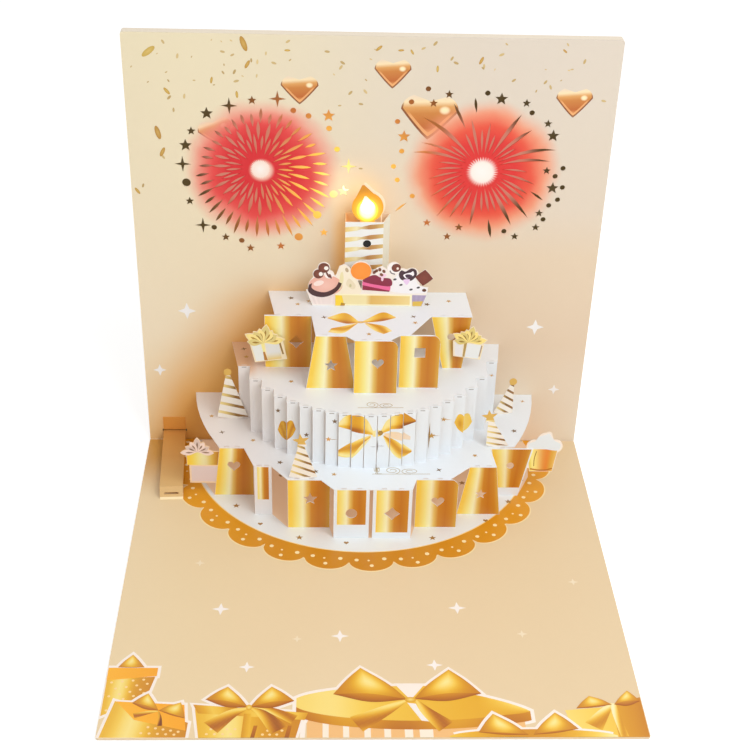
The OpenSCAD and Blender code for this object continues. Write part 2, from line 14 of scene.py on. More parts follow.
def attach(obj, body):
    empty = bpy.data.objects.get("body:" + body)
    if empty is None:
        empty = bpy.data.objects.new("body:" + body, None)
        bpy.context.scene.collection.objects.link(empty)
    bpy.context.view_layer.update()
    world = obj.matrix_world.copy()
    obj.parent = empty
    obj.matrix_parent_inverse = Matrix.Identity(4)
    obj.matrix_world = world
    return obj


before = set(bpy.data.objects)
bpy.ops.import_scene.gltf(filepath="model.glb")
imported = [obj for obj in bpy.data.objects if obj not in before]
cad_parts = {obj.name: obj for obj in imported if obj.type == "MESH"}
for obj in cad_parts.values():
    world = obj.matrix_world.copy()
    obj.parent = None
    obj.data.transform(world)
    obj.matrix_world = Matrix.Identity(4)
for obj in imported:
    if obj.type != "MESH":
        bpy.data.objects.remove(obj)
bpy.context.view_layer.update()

# Camera
# It stands in front of the card and above it, as the photographer did, and looks down at the fold.
# The lens shift keeps the card in the upper part of the picture.
fold_in_part = np.array([0.0, 93.5, 0.9])


def placed(points):
    """Points in millimetres from the fold, moved to the part's origin and turned into metres."""
    return (np.asarray(points, float) + fold_in_part) / 1000


look_down, look_right, tilt = (math.radians(angle) for angle in (34.37, 2.745, 1.895))
ahead = np.array([math.sin(look_right) * math.cos(look_down),
                  math.cos(look_right) * math.cos(look_down), -math.sin(look_down)])
level_right = np.array([math.cos(look_right), -math.sin(look_right), 0.0])
level_up = np.cross(level_right, ahead)
view_right = math.cos(tilt) * level_right + math.sin(tilt) * level_up
view_up = math.cos(tilt) * level_up - math.sin(tilt) * level_right

camera = bpy.data.objects.new("camera", bpy.data.cameras.new("camera"))
bpy.context.scene.collection.objects.link(camera)
bpy.context.scene.camera = camera
camera.data.sensor_width = 36
camera.data.lens = 67.3
camera.data.shift_y = 0.1
camera.data.clip_start = 0.01
turn = np.eye(4)
turn[:3, :3] = np.stack([view_right, view_up, -ahead], axis=1)
turn[:3, 3] = placed([-20.6, -549.0, 369.8])
camera.matrix_world = Matrix(turn.tolist())
bpy.context.scene.view_settings.view_transform = "Standard"


# Floor and light
# A plain white floor under soft studio light: one wide lamp from the right and the front, and a
# white room around it that fills the shadows.
class Ink:
    """One output of a material's nodes. Sums, products and comparisons of inks add Math nodes."""

    def __init__(self, tree, socket=None):
        self.tree = tree
        self.socket = socket

    def node(self, kind, settings=None, values=None, output=0):
        """Adds a node: its settings come first, then its sockets' values or links. Gives one output."""
        made = self.tree.nodes.new(kind)
        for name, setting in (settings or {}).items():
            if name == "stops":
                ramp = made.color_ramp.elements
                for _ in range(len(setting) - 2):
                    ramp.new(0.5)
                for stop, (at, colour) in zip(ramp, setting):
                    stop.position = at
                    stop.color = colour
            else:
                setattr(made, name, setting)
        for name, value in (values or {}).items():
            if isinstance(value, Ink):
                self.tree.links.new(value.socket, made.inputs[name])
            else:
                made.inputs[name].default_value = value
        return Ink(self.tree, made.outputs[output])

    def maths(self, operation, *others):
        """A Math node with this ink first and the others after it."""
        return self.node("ShaderNodeMath", {"operation": operation}, dict(enumerate((self,) + others)))

    def __add__(self, other):
        return self.maths("ADD", other)

    def __sub__(self, other):
        return self.maths("SUBTRACT", other)

    def __rsub__(self, other):
        return self * -1.0 + other

    def __mul__(self, other):
        return self.maths("MULTIPLY", other)

    def __truediv__(self, other):
        return self.maths("DIVIDE", other)

    def __pow__(self, other):
        return self.maths("POWER", other)

    def __gt__(self, other):
        return self.maths("GREATER_THAN", other)

    def __lt__(self, other):
        return self.maths("LESS_THAN", other)

    __radd__ = __add__
    __rmul__ = __mul__

    def within(self, low, high):
        """1 where the ink lies between two numbers, and 0 elsewhere."""
        return self.maths("COMPARE", (low + high) / 2, (high - low) / 2)

    def fade(self, gone, full):
        """Rises smoothly from 0 at one number to 1 at the other."""
        return self.node("ShaderNodeMapRange", {"interpolation_type": "SMOOTHSTEP"},
                         {"Value": self, "From Min": gone, "From Max": full})

    def painted(self, colour, share):
        """This colour with another one over it by a share from 0 to 1."""
        return self.node("ShaderNodeMix", {"data_type": "RGBA"}, {0: share, 6: self, 7: colour}, output=2)

    def ramp(self, stops):
        """A colour read off a row of stops by this ink."""
        return self.node("ShaderNodeValToRGB", {"stops": [(at, pigment(*rgb)) for at, rgb in stops]}, {"Fac": self})


def pigment(red, green, blue):
    """A printed colour of 0 to 255 as a shader's linear colour."""
    return tuple(float(c) for c in linear(np.array([red, green, blue]))) + (1.0,)


def linear(colours):
    """Screen colours from 0 to 255 as linear light: a power law with a straight foot."""
    c = np.clip(np.asarray(colours, float) / 255, 0, 1)
    return np.where(c <= 0.04045, c / 12.92, ((c + 0.055) / 1.055) ** 2.4)


floor_mesh = bpy.data.meshes.new("floor")
floor_mesh.from_pydata([(-4, -4, -0.0003), (4, -4, -0.0003), (4, 4, -0.0003), (-4, 4, -0.0003)], [], [(0, 1, 2, 3)])
floor = bpy.data.objects.new("floor", floor_mesh)
bpy.context.scene.collection.objects.link(floor)
floor_paint = bpy.data.materials.new("floor")
floor_paint.use_nodes = True
tree = floor_paint.node_tree
tree.nodes.remove(tree.nodes["Principled BSDF"])
start = Ink(tree)
seen = (start.node("ShaderNodeLightPath", output="Is Camera Ray") + start.node("ShaderNodeLightPath", output="Is Glossy Ray")
        + start.node("ShaderNodeLightPath", output="Is Transmission Ray"))
matt = start.node("ShaderNodeBsdfDiffuse", {}, {"Color": (0.8, 0.8, 0.8, 1)})
white = start.node("ShaderNodeEmission", {}, {"Color": (1, 1, 1, 1), "Strength": seen * 0.45})
both = start.node("ShaderNodeAddShader", {}, {0: matt, 1: white})
tree.links.new(both.socket, tree.nodes["Material Output"].inputs["Surface"])
floor_mesh.materials.append(floor_paint)

world = bpy.data.worlds.new("room")
world.use_nodes = True
bpy.context.scene.world = world
start = Ink(world.node_tree)
seen = (start.node("ShaderNodeLightPath", output="Is Camera Ray") + start.node("ShaderNodeLightPath", output="Is Glossy Ray")
        + start.node("ShaderNodeLightPath", output="Is Transmission Ray")).maths("MINIMUM", 1.0)
room_light = 0.7
background = world.node_tree.nodes["Background"]
background.inputs["Color"].default_value = (1, 1, 1, 1)
world.node_tree.links.new((seen * (1 - room_light) + room_light).socket, background.inputs["Strength"])

lamp = bpy.data.objects.new("softbox", bpy.data.lights.new("softbox", "AREA"))
bpy.context.scene.collection.objects.link(lamp)
lamp.data.shape = "RECTANGLE"
lamp.data.size = 0.5
lamp.data.size_y = 0.5
lamp.data.energy = 3.2
lamp_at = placed([330, -520, 620])
lamp_way = lamp_at - placed([0, -40, 50])
lamp_way = lamp_way / np.linalg.norm(lamp_way)
lamp_side = np.cross([0, 0, 1], lamp_way)
lamp_side = lamp_side / np.linalg.norm(lamp_side)
turn = np.eye(4)
turn[:3, :3] = np.stack([lamp_side, np.cross(lamp_way, lamp_side), lamp_way], axis=1)
turn[:3, 3] = lamp_at
lamp.matrix_world = Matrix(turn.tolist())


# Cover
# One folded card of cream board, 0.5 mm thick, makes the base, the outside of the back and the
# walls round it. Inside the hollow its rear face is painted a dark olive as shade, with painted lamp light glowing on
# it.
class Spot:
    """Where a shaded point is: x, y and z in millimetres from the fold, and its face's direction."""

    def __init__(self, tree):
        start = Ink(tree)
        place = start.node("ShaderNodeTexCoord", output="Object")
        facing = start.node("ShaderNodeTexCoord", output="Normal")
        self.start = start
        self.place = place
        self.x, self.y, self.z = (
            place.node("ShaderNodeSeparateXYZ", {}, {0: place}, axis) * 1000 - float(fold_in_part[axis])
            for axis in range(3))
        self.to_x, self.to_y, self.to_z = (
            facing.node("ShaderNodeSeparateXYZ", {}, {0: facing}, axis) for axis in range(3))

    def noise(self, size, detail=2, roughness=0.5):
        """Cloudy noise from 0 to 1 with clouds about size millimetres across."""
        return self.start.node("ShaderNodeTexNoise", {}, {"Vector": self.place, "Scale": 1000 / size,
                                                          "Detail": detail, "Roughness": roughness})


def paper(name, colour, roughness=0.5, cloud=0.05, fibre=0.12, coat=0.0, glow=None, metal=0.0):
    """Paper or board. colour is a printed colour or a function of a Spot that gives one. The pulp
    clouds it a little, and fine fibres raise it by fibre. glow gives light of its own."""
    material = bpy.data.materials.new(name)
    material.use_nodes = True
    tree = material.node_tree
    shader = tree.nodes["Principled BSDF"]
    spot = Spot(tree)
    pulp = spot.noise(2.2, 4, 0.6)
    if callable(colour):
        base = colour(spot)
    else:
        base = spot.start.node("ShaderNodeMix", {"data_type": "RGBA"}, {0: pulp * cloud, 6: pigment(*colour),
                               7: pigment(*(0.55 * c for c in colour))}, output=2)
    if callable(colour):
        base = base.painted((0.2, 0.14, 0.1, 1), pulp * (cloud * 0.5))
    fibres = spot.noise(0.35, 3, 0.7)
    raised = spot.start.node("ShaderNodeBump", {}, {"Strength": fibre, "Distance": 0.0001, "Height": fibres})
    tree.links.new(base.socket, shader.inputs["Base Color"])
    tree.links.new((pulp * 0.16 + (roughness - 0.08)).socket, shader.inputs["Roughness"])
    tree.links.new(raised.socket, shader.inputs["Normal"])
    shader.inputs["Coat Weight"].default_value = coat
    shader.inputs["Coat Roughness"].default_value = 0.25
    shader.inputs["Metallic"].default_value = metal
    if glow:
        tree.links.new(glow(spot).socket, shader.inputs["Emission Color"])
        shader.inputs["Emission Strength"].default_value = 1.0
    return material


def dress(node, material):
    """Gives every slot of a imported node's object the same finish."""
    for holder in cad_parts[node].material_slots:
        holder.material = material


lamp_in_hollow = (-10.0, 127.0)
burst_centres = ((-46.5, 135.5), (46.5, 135.5))


def distance(spot, centre, stretch=1.0):
    """Distance in the back panel's plane from a centre, with heights stretched."""
    return ((spot.x - centre[0]) ** 2 + ((spot.z - centre[1]) * stretch) ** 2) ** 0.5


def in_hollow(spot):
    """1 on the cover's inner rear face, and 0 outside the hollow."""
    return spot.y.within(4.35, 4.65) * spot.x.within(-99.3, 99.3) * (spot.z < 191.3)


def cover_colour(spot):
    outside = spot.z.fade(0, 190).ramp([(0, (232, 207, 172)), (1, (234, 219, 196))])
    # Painted shade: the hollow's rear face is a dark olive, since little light reaches it.
    return outside.painted(pigment(96, 84, 56), in_hollow(spot))


def cover_glow(spot):
    """Lamp light on the hollow's rear face: white near the lamp, then yellow, orange and dull olive,
    and a grey pink where light comes through the thin red print in front."""
    from_lamp = distance(spot, lamp_in_hollow) / 60
    light = from_lamp.ramp([(0.0, (255, 250, 215)), (0.2, (255, 236, 96)), (0.36, (252, 190, 84)),
                            (0.62, (196, 116, 62)), (1.0, (74, 62, 38))])
    red = distance(spot, burst_centres[0]).fade(27, 17) + distance(spot, burst_centres[1]).fade(27, 17)
    light = light.painted(pigment(196, 122, 104), red * from_lamp.fade(0.25, 0.8))
    return spot.start.node("ShaderNodeMix", {"data_type": "RGBA"}, {0: in_hollow(spot), 6: (0, 0, 0, 1), 7: light}, output=2)


dress("cover", paper("cover_card", cover_colour, roughness=0.45, coat=0.15, glow=cover_glow))


# Base lining
# The printed sheet glued on the base: an even peach ground, coated and a little glossy, with a painted amber shade at
# its back left.
def base_colour(spot):
    ground = (spot.x + 100).fade(0, 200).ramp([(0, (235, 212, 170)), (0.5, (233, 210, 172)), (1, (229, 205, 165))])
    ground = ground.painted(pigment(228, 196, 150), spot.noise(60, 1) * 0.25)
    # Painted amber shade at the back left of the base.
    return ground.painted(pigment(204, 148, 66), spot.y.fade(-50, -12) * spot.x.fade(-60, -72))


dress("base_lining", paper("base_print", base_colour, roughness=0.42, coat=0.15))


def drawn(points, count):
    """Smooth curve through the points: a Catmull-Rom cubic on each stretch, in equal shares."""
    p = np.asarray(points, float)
    p = np.vstack([2 * p[0] - p[1], p, 2 * p[-1] - p[-2]])
    t = np.linspace(0, len(p) - 3, count)
    i = np.minimum(t.astype(int), len(p) - 4)
    s = (t - i)[:, None]
    a, b, c, d = p[i], p[i + 1], p[i + 2], p[i + 3]
    return 0.5 * (2 * b + (c - a) * s + (2 * a - 5 * b + 4 * c - d) * s ** 2 + (3 * b - a - 3 * c + d) * s ** 3)


def cornered(*curves, count=24):
    """Smooth curves joined end to end with a corner between them, in equal shares of points."""
    each = [drawn(curve, count) for curve in curves]
    return np.vstack([each[0]] + [part[1:] for part in each[1:]])


def film(points, colours, height):
    """Closed film over a grid of points in a sheet's plane, height above it. Gives the points of its
    upper and lower face, its faces with a wall round the rim, and the colour of each point."""
    points = np.asarray(points, float)
    colours = np.broadcast_to(np.asarray(colours, float), points.shape[:2] + (3,))
    across, along = points[1, 0] - points[0, 0], points[0, 1] - points[0, 0]
    middle = points[1:, 1:] - points[:-1, :-1]
    other = points[1:, :-1] - points[:-1, 1:]
    if np.sum(middle[..., 0] * other[..., 1] - middle[..., 1] * other[..., 0]) > 0:
        points, colours = points[::-1], colours[::-1]
    n, m = points.shape[:2]
    index = np.arange(n * m).reshape(n, m)
    quads = np.stack([index[:-1, :-1], index[1:, :-1], index[1:, 1:], index[:-1, 1:]], -1).reshape(-1, 4)
    rim = np.concatenate([index[:-1, 0], index[-1, :-1], index[:0:-1, -1], index[0, :0:-1]])
    after = np.roll(rim, -1)
    wall = np.stack([after, rim, rim + n * m, after + n * m], -1)
    faces = quads.tolist() + (quads[:, ::-1] + n * m).tolist() + wall.tolist()
    flat = points.reshape(-1, 2)
    upper = np.column_stack([flat, np.full(len(flat), height)])
    lower = np.column_stack([flat, np.zeros(len(flat))])
    return np.vstack([upper, lower]), faces, np.vstack([colours.reshape(-1, 3)] * 2)


def cutout(outline, colour, height, core=None):
    """Closed film with one outline, counter-clockwise, whose colour may change towards its middle:
    rings of points drawn in from the outline, and a last small face inside them."""
    outline = np.asarray(outline, float)
    k = len(outline)
    following = np.roll(outline, -1, axis=0)
    if np.sum(outline[:, 0] * following[:, 1] - outline[:, 1] * following[:, 0]) < 0:
        outline = outline[::-1]
    shares = np.array([1.0]) if core is None else np.linspace(1, 0.15, 6)
    middle = outline.mean(axis=0)
    rings = middle + shares[:, None, None] * (outline - middle)
    colours = np.broadcast_to(np.asarray(colour, float), (k, 3)) + np.zeros((len(shares), k, 3))
    if core is not None:
        colours = colours + (1 - shares[:, None, None]) * (np.asarray(core, float) - colours)
    flat = rings.reshape(-1, 2)
    count = len(flat)
    index = np.arange(count).reshape(len(shares), k)
    after = np.roll(index, -1, axis=1)
    between = np.stack([index[:-1], after[:-1], after[1:], index[1:]], -1).reshape(-1, 4)
    wall = np.stack([after[0], index[0], index[0] + count, after[0] + count], -1)
    cap = index[-1]
    faces = (between.tolist() + (between[:, ::-1] + count).tolist() + wall.tolist()
             + [cap.tolist(), (cap[::-1] + count).tolist()])
    upper = np.column_stack([flat, np.full(count, height)])
    lower = np.column_stack([flat, np.zeros(count)])
    return np.vstack([upper, lower]), faces, np.vstack([colours.reshape(-1, 3)] * 2)


def band(low, high, tone, height, rows=9):
    """Film between two curves of as many points: tone gives colours by u along them and v across."""
    low, high = np.asarray(low, float), np.asarray(high, float)
    v = np.linspace(0, 1, rows)
    points = low[:, None] * (1 - v[None, :, None]) + high[:, None] * v[None, :, None]
    u, v = np.meshgrid(np.linspace(0, 1, len(low)), v, indexing="ij")
    return film(points, tone(u, v) if callable(tone) else tone, height)


def stroke(points, width, colour, height, count=24, closed=False):
    """Film of even width along a curve: its points moved half the width along their normals."""
    path = drawn(points, count) if count else np.asarray(points, float)
    along = np.gradient(path, axis=0)
    if closed:
        along = np.roll(path, -1, axis=0) - np.roll(path, 1, axis=0)
    along = along / np.maximum(np.linalg.norm(along, axis=1), 1e-9)[:, None]
    side = np.column_stack([-along[:, 1], along[:, 0]]) * np.broadcast_to(np.asarray(width, float), len(path))[:, None] / 2
    if closed:
        path, side = np.vstack([path, path[:1]]), np.vstack([side, side[:1]])
    return band(path - side, path + side, colour, height, rows=2)


def starry(centre, radius, points, waist, turned=0.0):
    """Outline of a star: its radius changes by turns from the full one to waist times it."""
    a = np.arange(2 * points) * math.pi / points + math.pi / 2 + math.radians(turned)
    r = np.where(np.arange(2 * points) % 2 == 0, radius, waist * radius)
    return np.column_stack([centre[0] + r * np.cos(a), centre[1] + r * np.sin(a)])


def round_outline(centre, width, height=None, count=24, turned=0.0):
    """Outline of an oval by its width and height, turned counter-clockwise."""
    a = np.linspace(0, 2 * math.pi, count, endpoint=False)
    x, y = width / 2 * np.cos(a), (height or width) / 2 * np.sin(a)
    c, s = math.cos(math.radians(turned)), math.sin(math.radians(turned))
    return np.column_stack([centre[0] + c * x - s * y, centre[1] + s * x + c * y])


def heart_outline(centre, width, count=36, turned=0.0):
    """Outline of a heart: x by the cube of a sine and y by four cosines."""
    t = np.linspace(0, 2 * math.pi, count, endpoint=False)
    x = width / 2 * np.sin(t) ** 3
    y = width / 32 * (13 * np.cos(t) - 5 * np.cos(2 * t) - 2 * np.cos(3 * t) - np.cos(4 * t))
    c, s = math.cos(math.radians(turned)), math.sin(math.radians(turned))
    return np.column_stack([centre[0] + c * x - s * y, centre[1] + s * x + c * y])


def printing_ink():
    """Ink film: its printed colour comes from the attribute, and it is smoother than the paper."""
    material = bpy.data.materials.new("printing_ink")
    material.use_nodes = True
    tree = material.node_tree
    shader = tree.nodes["Principled BSDF"]
    spot = Spot(tree)
    printed = spot.start.node("ShaderNodeAttribute", {"attribute_name": "ink"}, output="Color")
    lit = spot.start.node("ShaderNodeAttribute", {"attribute_name": "ink"}, output="Alpha")
    grain = spot.noise(0.5, 3, 0.6)
    raised = spot.start.node("ShaderNodeBump", {}, {"Strength": 0.08, "Distance": 0.0001, "Height": grain})
    tree.links.new(printed.painted((0.25, 0.16, 0.08, 1), grain * 0.04).socket, shader.inputs["Base Color"])
    tree.links.new((grain * 0.14 + 0.33).socket, shader.inputs["Roughness"])
    own = spot.start.node("ShaderNodeMix", {"data_type": "RGBA"}, {0: lit, 6: (0, 0, 0, 1), 7: printed}, output=2)
    tree.links.new(own.socket, shader.inputs["Emission Color"])
    shader.inputs["Emission Strength"].default_value = 1.0
    tree.links.new(raised.socket, shader.inputs["Normal"])
    shader.inputs["Coat Weight"].default_value = 0.2
    shader.inputs["Coat Roughness"].default_value = 0.2
    return material


ink_finish = printing_ink()


def printed(name, films, place, slot, lit=0.0):
    """One mesh of several films. place turns points across, along and above the sheet into
    millimetres from the fold. slot, the card that the mesh lies on, is not used. lit is the share of
    its colour that shows in the dark, by light that comes through thin paper."""
    points, faces, colours, count = [], [], [], 0
    for film_points, film_faces, film_colours in films:
        points.append(place(film_points))
        faces.extend([[corner + count for corner in face] for face in film_faces])
        colours.append(film_colours)
        count += len(film_points)
    mesh = bpy.data.meshes.new(name)
    mesh.from_pydata(placed(np.vstack(points)).tolist(), [], faces)
    ink = mesh.attributes.new("ink", "FLOAT_COLOR", "POINT")
    rgb = linear(np.vstack(colours))
    ink.data.foreach_set("color", np.column_stack([rgb, np.full(len(rgb), lit)]).ravel())
    mesh.materials.append(ink_finish)
    piece = bpy.data.objects.new(name, mesh)
    bpy.context.scene.collection.objects.link(piece)
    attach(piece, "root")
    return piece


def lying_at(z):
    """Place of films on the upper face of a level sheet."""
    return lambda p: np.column_stack([np.clip(p[:, 0], -99.9, 99.9), np.maximum(p[:, 1], -191.9), z + p[:, 2]])


def standing_at(y):
    """Place of films on the front face of an upright sheet."""
    return lambda p: np.column_stack([p[:, 0], y - p[:, 2], p[:, 1]])


on_base = lying_at(0.0)

# Printed doily
# A white half disc under the cake with a gold scalloped edge, all print on the base lining.
disc_r = 77.0
doily_valley_r = 81.2
lobe_angle = 13.2
first_valley = 28.6 - 2 * lobe_angle


def doily_edge(angles):
    """Outer radius of the doily: a half oval 6.6 mm high on each lobe, over the valleys' circle."""
    across = ((angles - first_valley) / lobe_angle) % 1 * 2 - 1
    return doily_valley_r + 6.6 * np.sqrt(np.maximum(1 - across ** 2, 0))


def on_circle(radius, degrees, middle=(-1.5, -10.0)):
    """Points round a middle on the base, with angles counted from the right towards the viewer."""
    a = np.radians(degrees)
    return np.column_stack([middle[0] + radius * np.cos(a), middle[1] - radius * np.sin(a)])


sweep = np.linspace(-6.0, 186.0, 385)
disc_edge = on_circle(disc_r, sweep, (-1.45, -8.05))
rear_edge = np.column_stack([disc_edge[:, 0], np.full(len(sweep), -1.4)])
white_print = (234, 236, 235)
doily_rim_out = on_circle(doily_edge(sweep), sweep)
pale_rim_out = on_circle(doily_edge(sweep) + 0.6, sweep)


def doily_gold(u, v):
    """Gold of the doily: brightest at both sides and more orange towards the front."""
    front = np.sin(u * math.pi)[..., None] ** 3
    return np.array([229, 156, 6]) * (1 - front) + np.array([205, 133, 18]) * front


doily = [band(disc_edge, pale_rim_out, (248, 226, 172), 0.015, rows=2),
         band(disc_edge, doily_rim_out, doily_gold, 0.03, rows=4),
         band(rear_edge, disc_edge + (disc_edge - (-1.45, -8.05)) * 0.006, (246, 214, 140), 0.04, rows=3),
         band(rear_edge, disc_edge, white_print, 0.05, rows=24)]
lobes = np.arange(0, 14)
for lobe in lobes:
    middle_angle = first_valley + (lobe + 0.5) * lobe_angle
    for swing, radius, size in ((-0.3, 80.4, 1.9), (0.0, 84.6, 1.7), (0.33, 80.9, 1.8), (0.06, 81.2, 1.0)):
        at = on_circle(radius + 0.4 * math.sin(4.1 * lobe), middle_angle + swing * lobe_angle)
        if at[0, 1] < -3:
            doily.append(cutout(round_outline(at[0], size, count=12), (252, 230, 176), 0.06))
printed("printed_doily", doily, on_base, "base_print")

# Painted shade under the cake
# The disc is painted tan as shade where the lower tier covers it, and the film glows a little with painted light.
tier_1_edge = [(-77, -6), (-74.5, -30), (-67, -45), (-49.5, -45), (-48.5, -59), (-41, -59), (-34, -68.6), (-16, -68.6),
               (-14.5, -75.5), (18.5, -75.5), (20.5, -68), (38.5, -68), (39.5, -58.5), (58.5, -58.5), (59, -44.5),
               (68, -44.5), (74.5, -30), (77, -6)]
under_tier_shade = (210, 180, 150)
edge = np.array(tier_1_edge)
printed("painted_cake_shade",
        [band(edge, np.column_stack([edge[:, 0] * 0.98, np.full(len(edge), -1.6)]), under_tier_shade, 0.065, rows=3)],
        on_base, "base_print", lit=0.3)

# Printed stars and hearts
# Small gold stars and hearts scattered on the disc, and white four-pointed sparkles on the ground.
small_gold = (160, 118, 58)
scattered = []
for x, y, kind in ((-71, -34, 1), (-57, -53, 0), (-46, -66, 1), (-29, -75.5, 0), (-9, -79, 1), (28, -75.5, 0), (52, -63, 1),
                   (63.5, -49, 0), (71, -33, 1), (44, -35, 0), (-38, -30, 1), (10, -34, 0), (-22, -52, 0)):
    shape = heart_outline((x, y), 2.2, 18) if kind else starry((x, y), 1.7, 5, 0.42)
    scattered.append(cutout(shape, small_gold, 0.08))
sparkles = []
for x, y, r in ((-59.6, -121.9, 4.3), (-12.2, -137.8, 4.2), (35, -121, 4.3), (23.8, -154.2, 3.8),
                (-47.7, -155.3, 3.6), (-70, -92.9, 2.6), (-28.9, -139.5, 2.4), (59.5, -136.5, 2.6),
                (84.4, -104.6, 2.6)):
    sparkles.append(cutout(starry((x, y), 0.84 * r, 4, 0.34), (250, 242, 236) if r > 3 else (242, 224, 194), 0.03))
printed("printed_disc_stars", scattered, on_base, "base_print")
printed("printed_base_sparkles", sparkles, on_base, "base_print")

# Printed gifts along the front edge
# Six boxes with ribbon bows, in gold and orange, each with a pale outline. They are print too.
gold_steps = np.array([[120, 60, 8], [180, 100, 12], [212, 142, 18], [232, 174, 36], [246, 206, 84], [250, 230, 150],
                       [252, 244, 210]], float)


def gold(share):
    """Printed gold from deep brown at 0 to pale cream at 1, read between even steps."""
    t = np.clip(share, 0, 1) * (len(gold_steps) - 1)
    return np.stack([np.interp(t, np.arange(len(gold_steps)), gold_steps[:, c]) for c in range(3)], -1)


pale_line = (250, 238, 226)


def backed(outline, width, level):
    """Pale film under a shape, wider than it all round: each corner moves out along its normal."""
    p = np.asarray(outline, float)
    p = p[np.linalg.norm(p - np.roll(p, 1, axis=0), axis=1) > 0.25]
    after = np.roll(p, -1, axis=0)
    if np.sum(p[:, 0] * after[:, 1] - p[:, 1] * after[:, 0]) < 0:
        p = p[::-1]
        after = np.roll(p, -1, axis=0)
    way = (after - p) / np.linalg.norm(after - p, axis=1)[:, None]
    out = np.column_stack([way[:, 1], -way[:, 0]])
    mean = out + np.roll(out, 1, axis=0)
    mean = mean / np.linalg.norm(mean, axis=1)[:, None]
    stretch = 1 / np.maximum(np.sum(mean * out, axis=1), 0.66)
    return cutout(p + mean * stretch[:, None] * width, pale_line, level)


def loop(knot, apex, tip, level, sag=0.12, hollow=0.55, under=0.07):
    """Half of a ribbon bow. Its upper edge climbs from the knot to the apex and falls to the tip,
    its lower edge sags between knot and tip, and the dark inside of the ribbon shows under that.
    Its pale outline lies lower, at the height under, so that it shows outside the gift only."""
    knot, apex, tip = (np.array(p, float) for p in (knot, apex, tip))
    span = tip - knot
    down = np.array([0, -1.0]) * np.linalg.norm(span)
    rise = knot + 0.42 * (apex - knot) - down * 0.05
    fall = apex + 0.5 * (tip - apex) - down * 0.03
    upper = cornered([knot, rise, apex], [apex, fall, tip], count=12)
    count = len(upper)
    lower = drawn([knot + (0.1, -0.1), knot + 0.5 * span + down * sag, tip + (0, -0.1)], count)
    inner = drawn([knot + (0.1, 0), knot + 0.5 * span - down * sag * hollow, tip], count)

    def shine(u, v):
        spark = np.exp(-((u - 0.46) / 0.2) ** 2 - ((v - 0.5) / 0.4) ** 2)
        return gold(0.42 + 0.42 * spark - 0.16 * np.abs(u - 0.5) * 2 - 0.08 * (v > 0.93))

    def inside(u, v):
        return gold(0.12 + 0.22 * np.sin(u * math.pi) * v)

    rim = np.vstack([upper, lower[::-1]])
    return [backed(rim, 1.2, under), band(inner, upper, shine, level + 0.02),
            band(lower, inner, inside, level + 0.03, rows=4)]


def tail(points, widths, level, light=0.45):
    """Ribbon end: a strip along a curve that widens, with its light moving across."""
    path = drawn(points, 12)
    along = np.gradient(path, axis=0)
    along = along / np.linalg.norm(along, axis=1)[:, None]
    side = np.column_stack([-along[:, 1], along[:, 0]]) * np.linspace(*widths, 12)[:, None] / 2
    return band(path - side, path + side, lambda u, v: gold(light + 0.3 * np.sin(3 * v + 3.2 * u)), level, rows=6)


def panel_film(corners, tone, level, columns=14, rows=8):
    """Four-cornered film: corners run from the lower left, lower right, upper right to upper left."""
    a, b, c, d = (np.array(p, float) for p in corners)
    s = np.linspace(0, 1, columns)[:, None]
    return band(a + s * (b - a), d + s * (c - d), tone, level, rows=rows)


def outlined(corners, level):
    """Pale outline round a four-cornered box."""
    return backed(corners, 1.2, level)


def box_gold(u, v):
    """Gold wrapping with a broad pale gleam a third of the way across."""
    return gold(0.5 + 0.36 * np.exp(-((u - 0.32) / 0.2) ** 2) - 0.2 * u)


def plain_orange(u, v):
    """Orange lid, a little lighter at its left."""
    return np.array([248, 166, 28]) + (1 - u)[..., None] * np.array([4, 14, 10])


def dots_on(corners, columns, rows, level, size=1.1):
    """Pale dots on a four-cornered box, every second row shifted by half a step."""
    a, b, c, d = (np.array(p, float) for p in corners)
    found = []
    for row in range(rows):
        for column in range(columns):
            u = (column + 0.5 + 0.5 * (row % 2)) / (columns + 0.5)
            v = (row + 0.5) / rows
            at = (a * (1 - u) + b * u) * (1 - v) + (d * (1 - u) + c * u) * v
            found.append(cutout(round_outline(at, size, count=10), (252, 216, 150), level))
    return found


front_gifts = []
# Box at the left edge
lower_box = [(-99.6, -181), (-84, -172), (-81.7, -160.5), (-99.6, -162)]
lid = [(-99.7, -162.5), (-81.2, -160.2), (-81.1, -155.8), (-99.7, -155.7)]
front_gifts += [outlined(lower_box, 0.02), outlined(lid, 0.024), panel_film(lower_box, box_gold, 0.04),
                panel_film(lid, plain_orange, 0.05)]
front_gifts += dots_on(lower_box, 4, 5, 0.06)
front_gifts += loop((-96.2, -155.4), (-91.3, -148.5), (-86.3, -155.4), 0.05, sag=0.02, hollow=0.3, under=0.028)
# Turned box beside it
corner_box = [(-98.8, -191.8), (-68.0, -191.8), (-67.6, -184.5), (-95.2, -173.4)]
top = [(-87.2, -183.0), (-68.2, -188.4), (-69.6, -175.4), (-94.6, -173.6)]
front_gifts += [outlined(corner_box, 0.07), outlined(top, 0.074), panel_film(corner_box, box_gold, 0.09),
                panel_film(top, plain_orange, 0.1)]
front_gifts += dots_on([(-86, -191.2), (-69, -191.2), (-69.5, -188.6), (-84, -184.4)], 5, 2, 0.116)
front_gifts += loop((-78.9, -178.2), (-83.3, -169.5), (-88.8, -174.4), 0.13, under=0.078)
front_gifts += loop((-78.7, -178.2), (-70.9, -174.2), (-68.9, -182.2), 0.13, sag=0.05, under=0.082)
front_gifts.append(tail([(-79, -178.6), (-82.5, -179.4), (-87.5, -181)], (0.6, 2.6), 0.12))
front_gifts.append(tail([(-78.7, -178.8), (-77.9, -182), (-77.6, -186)], (0.5, 1.8), 0.124, 0.2))
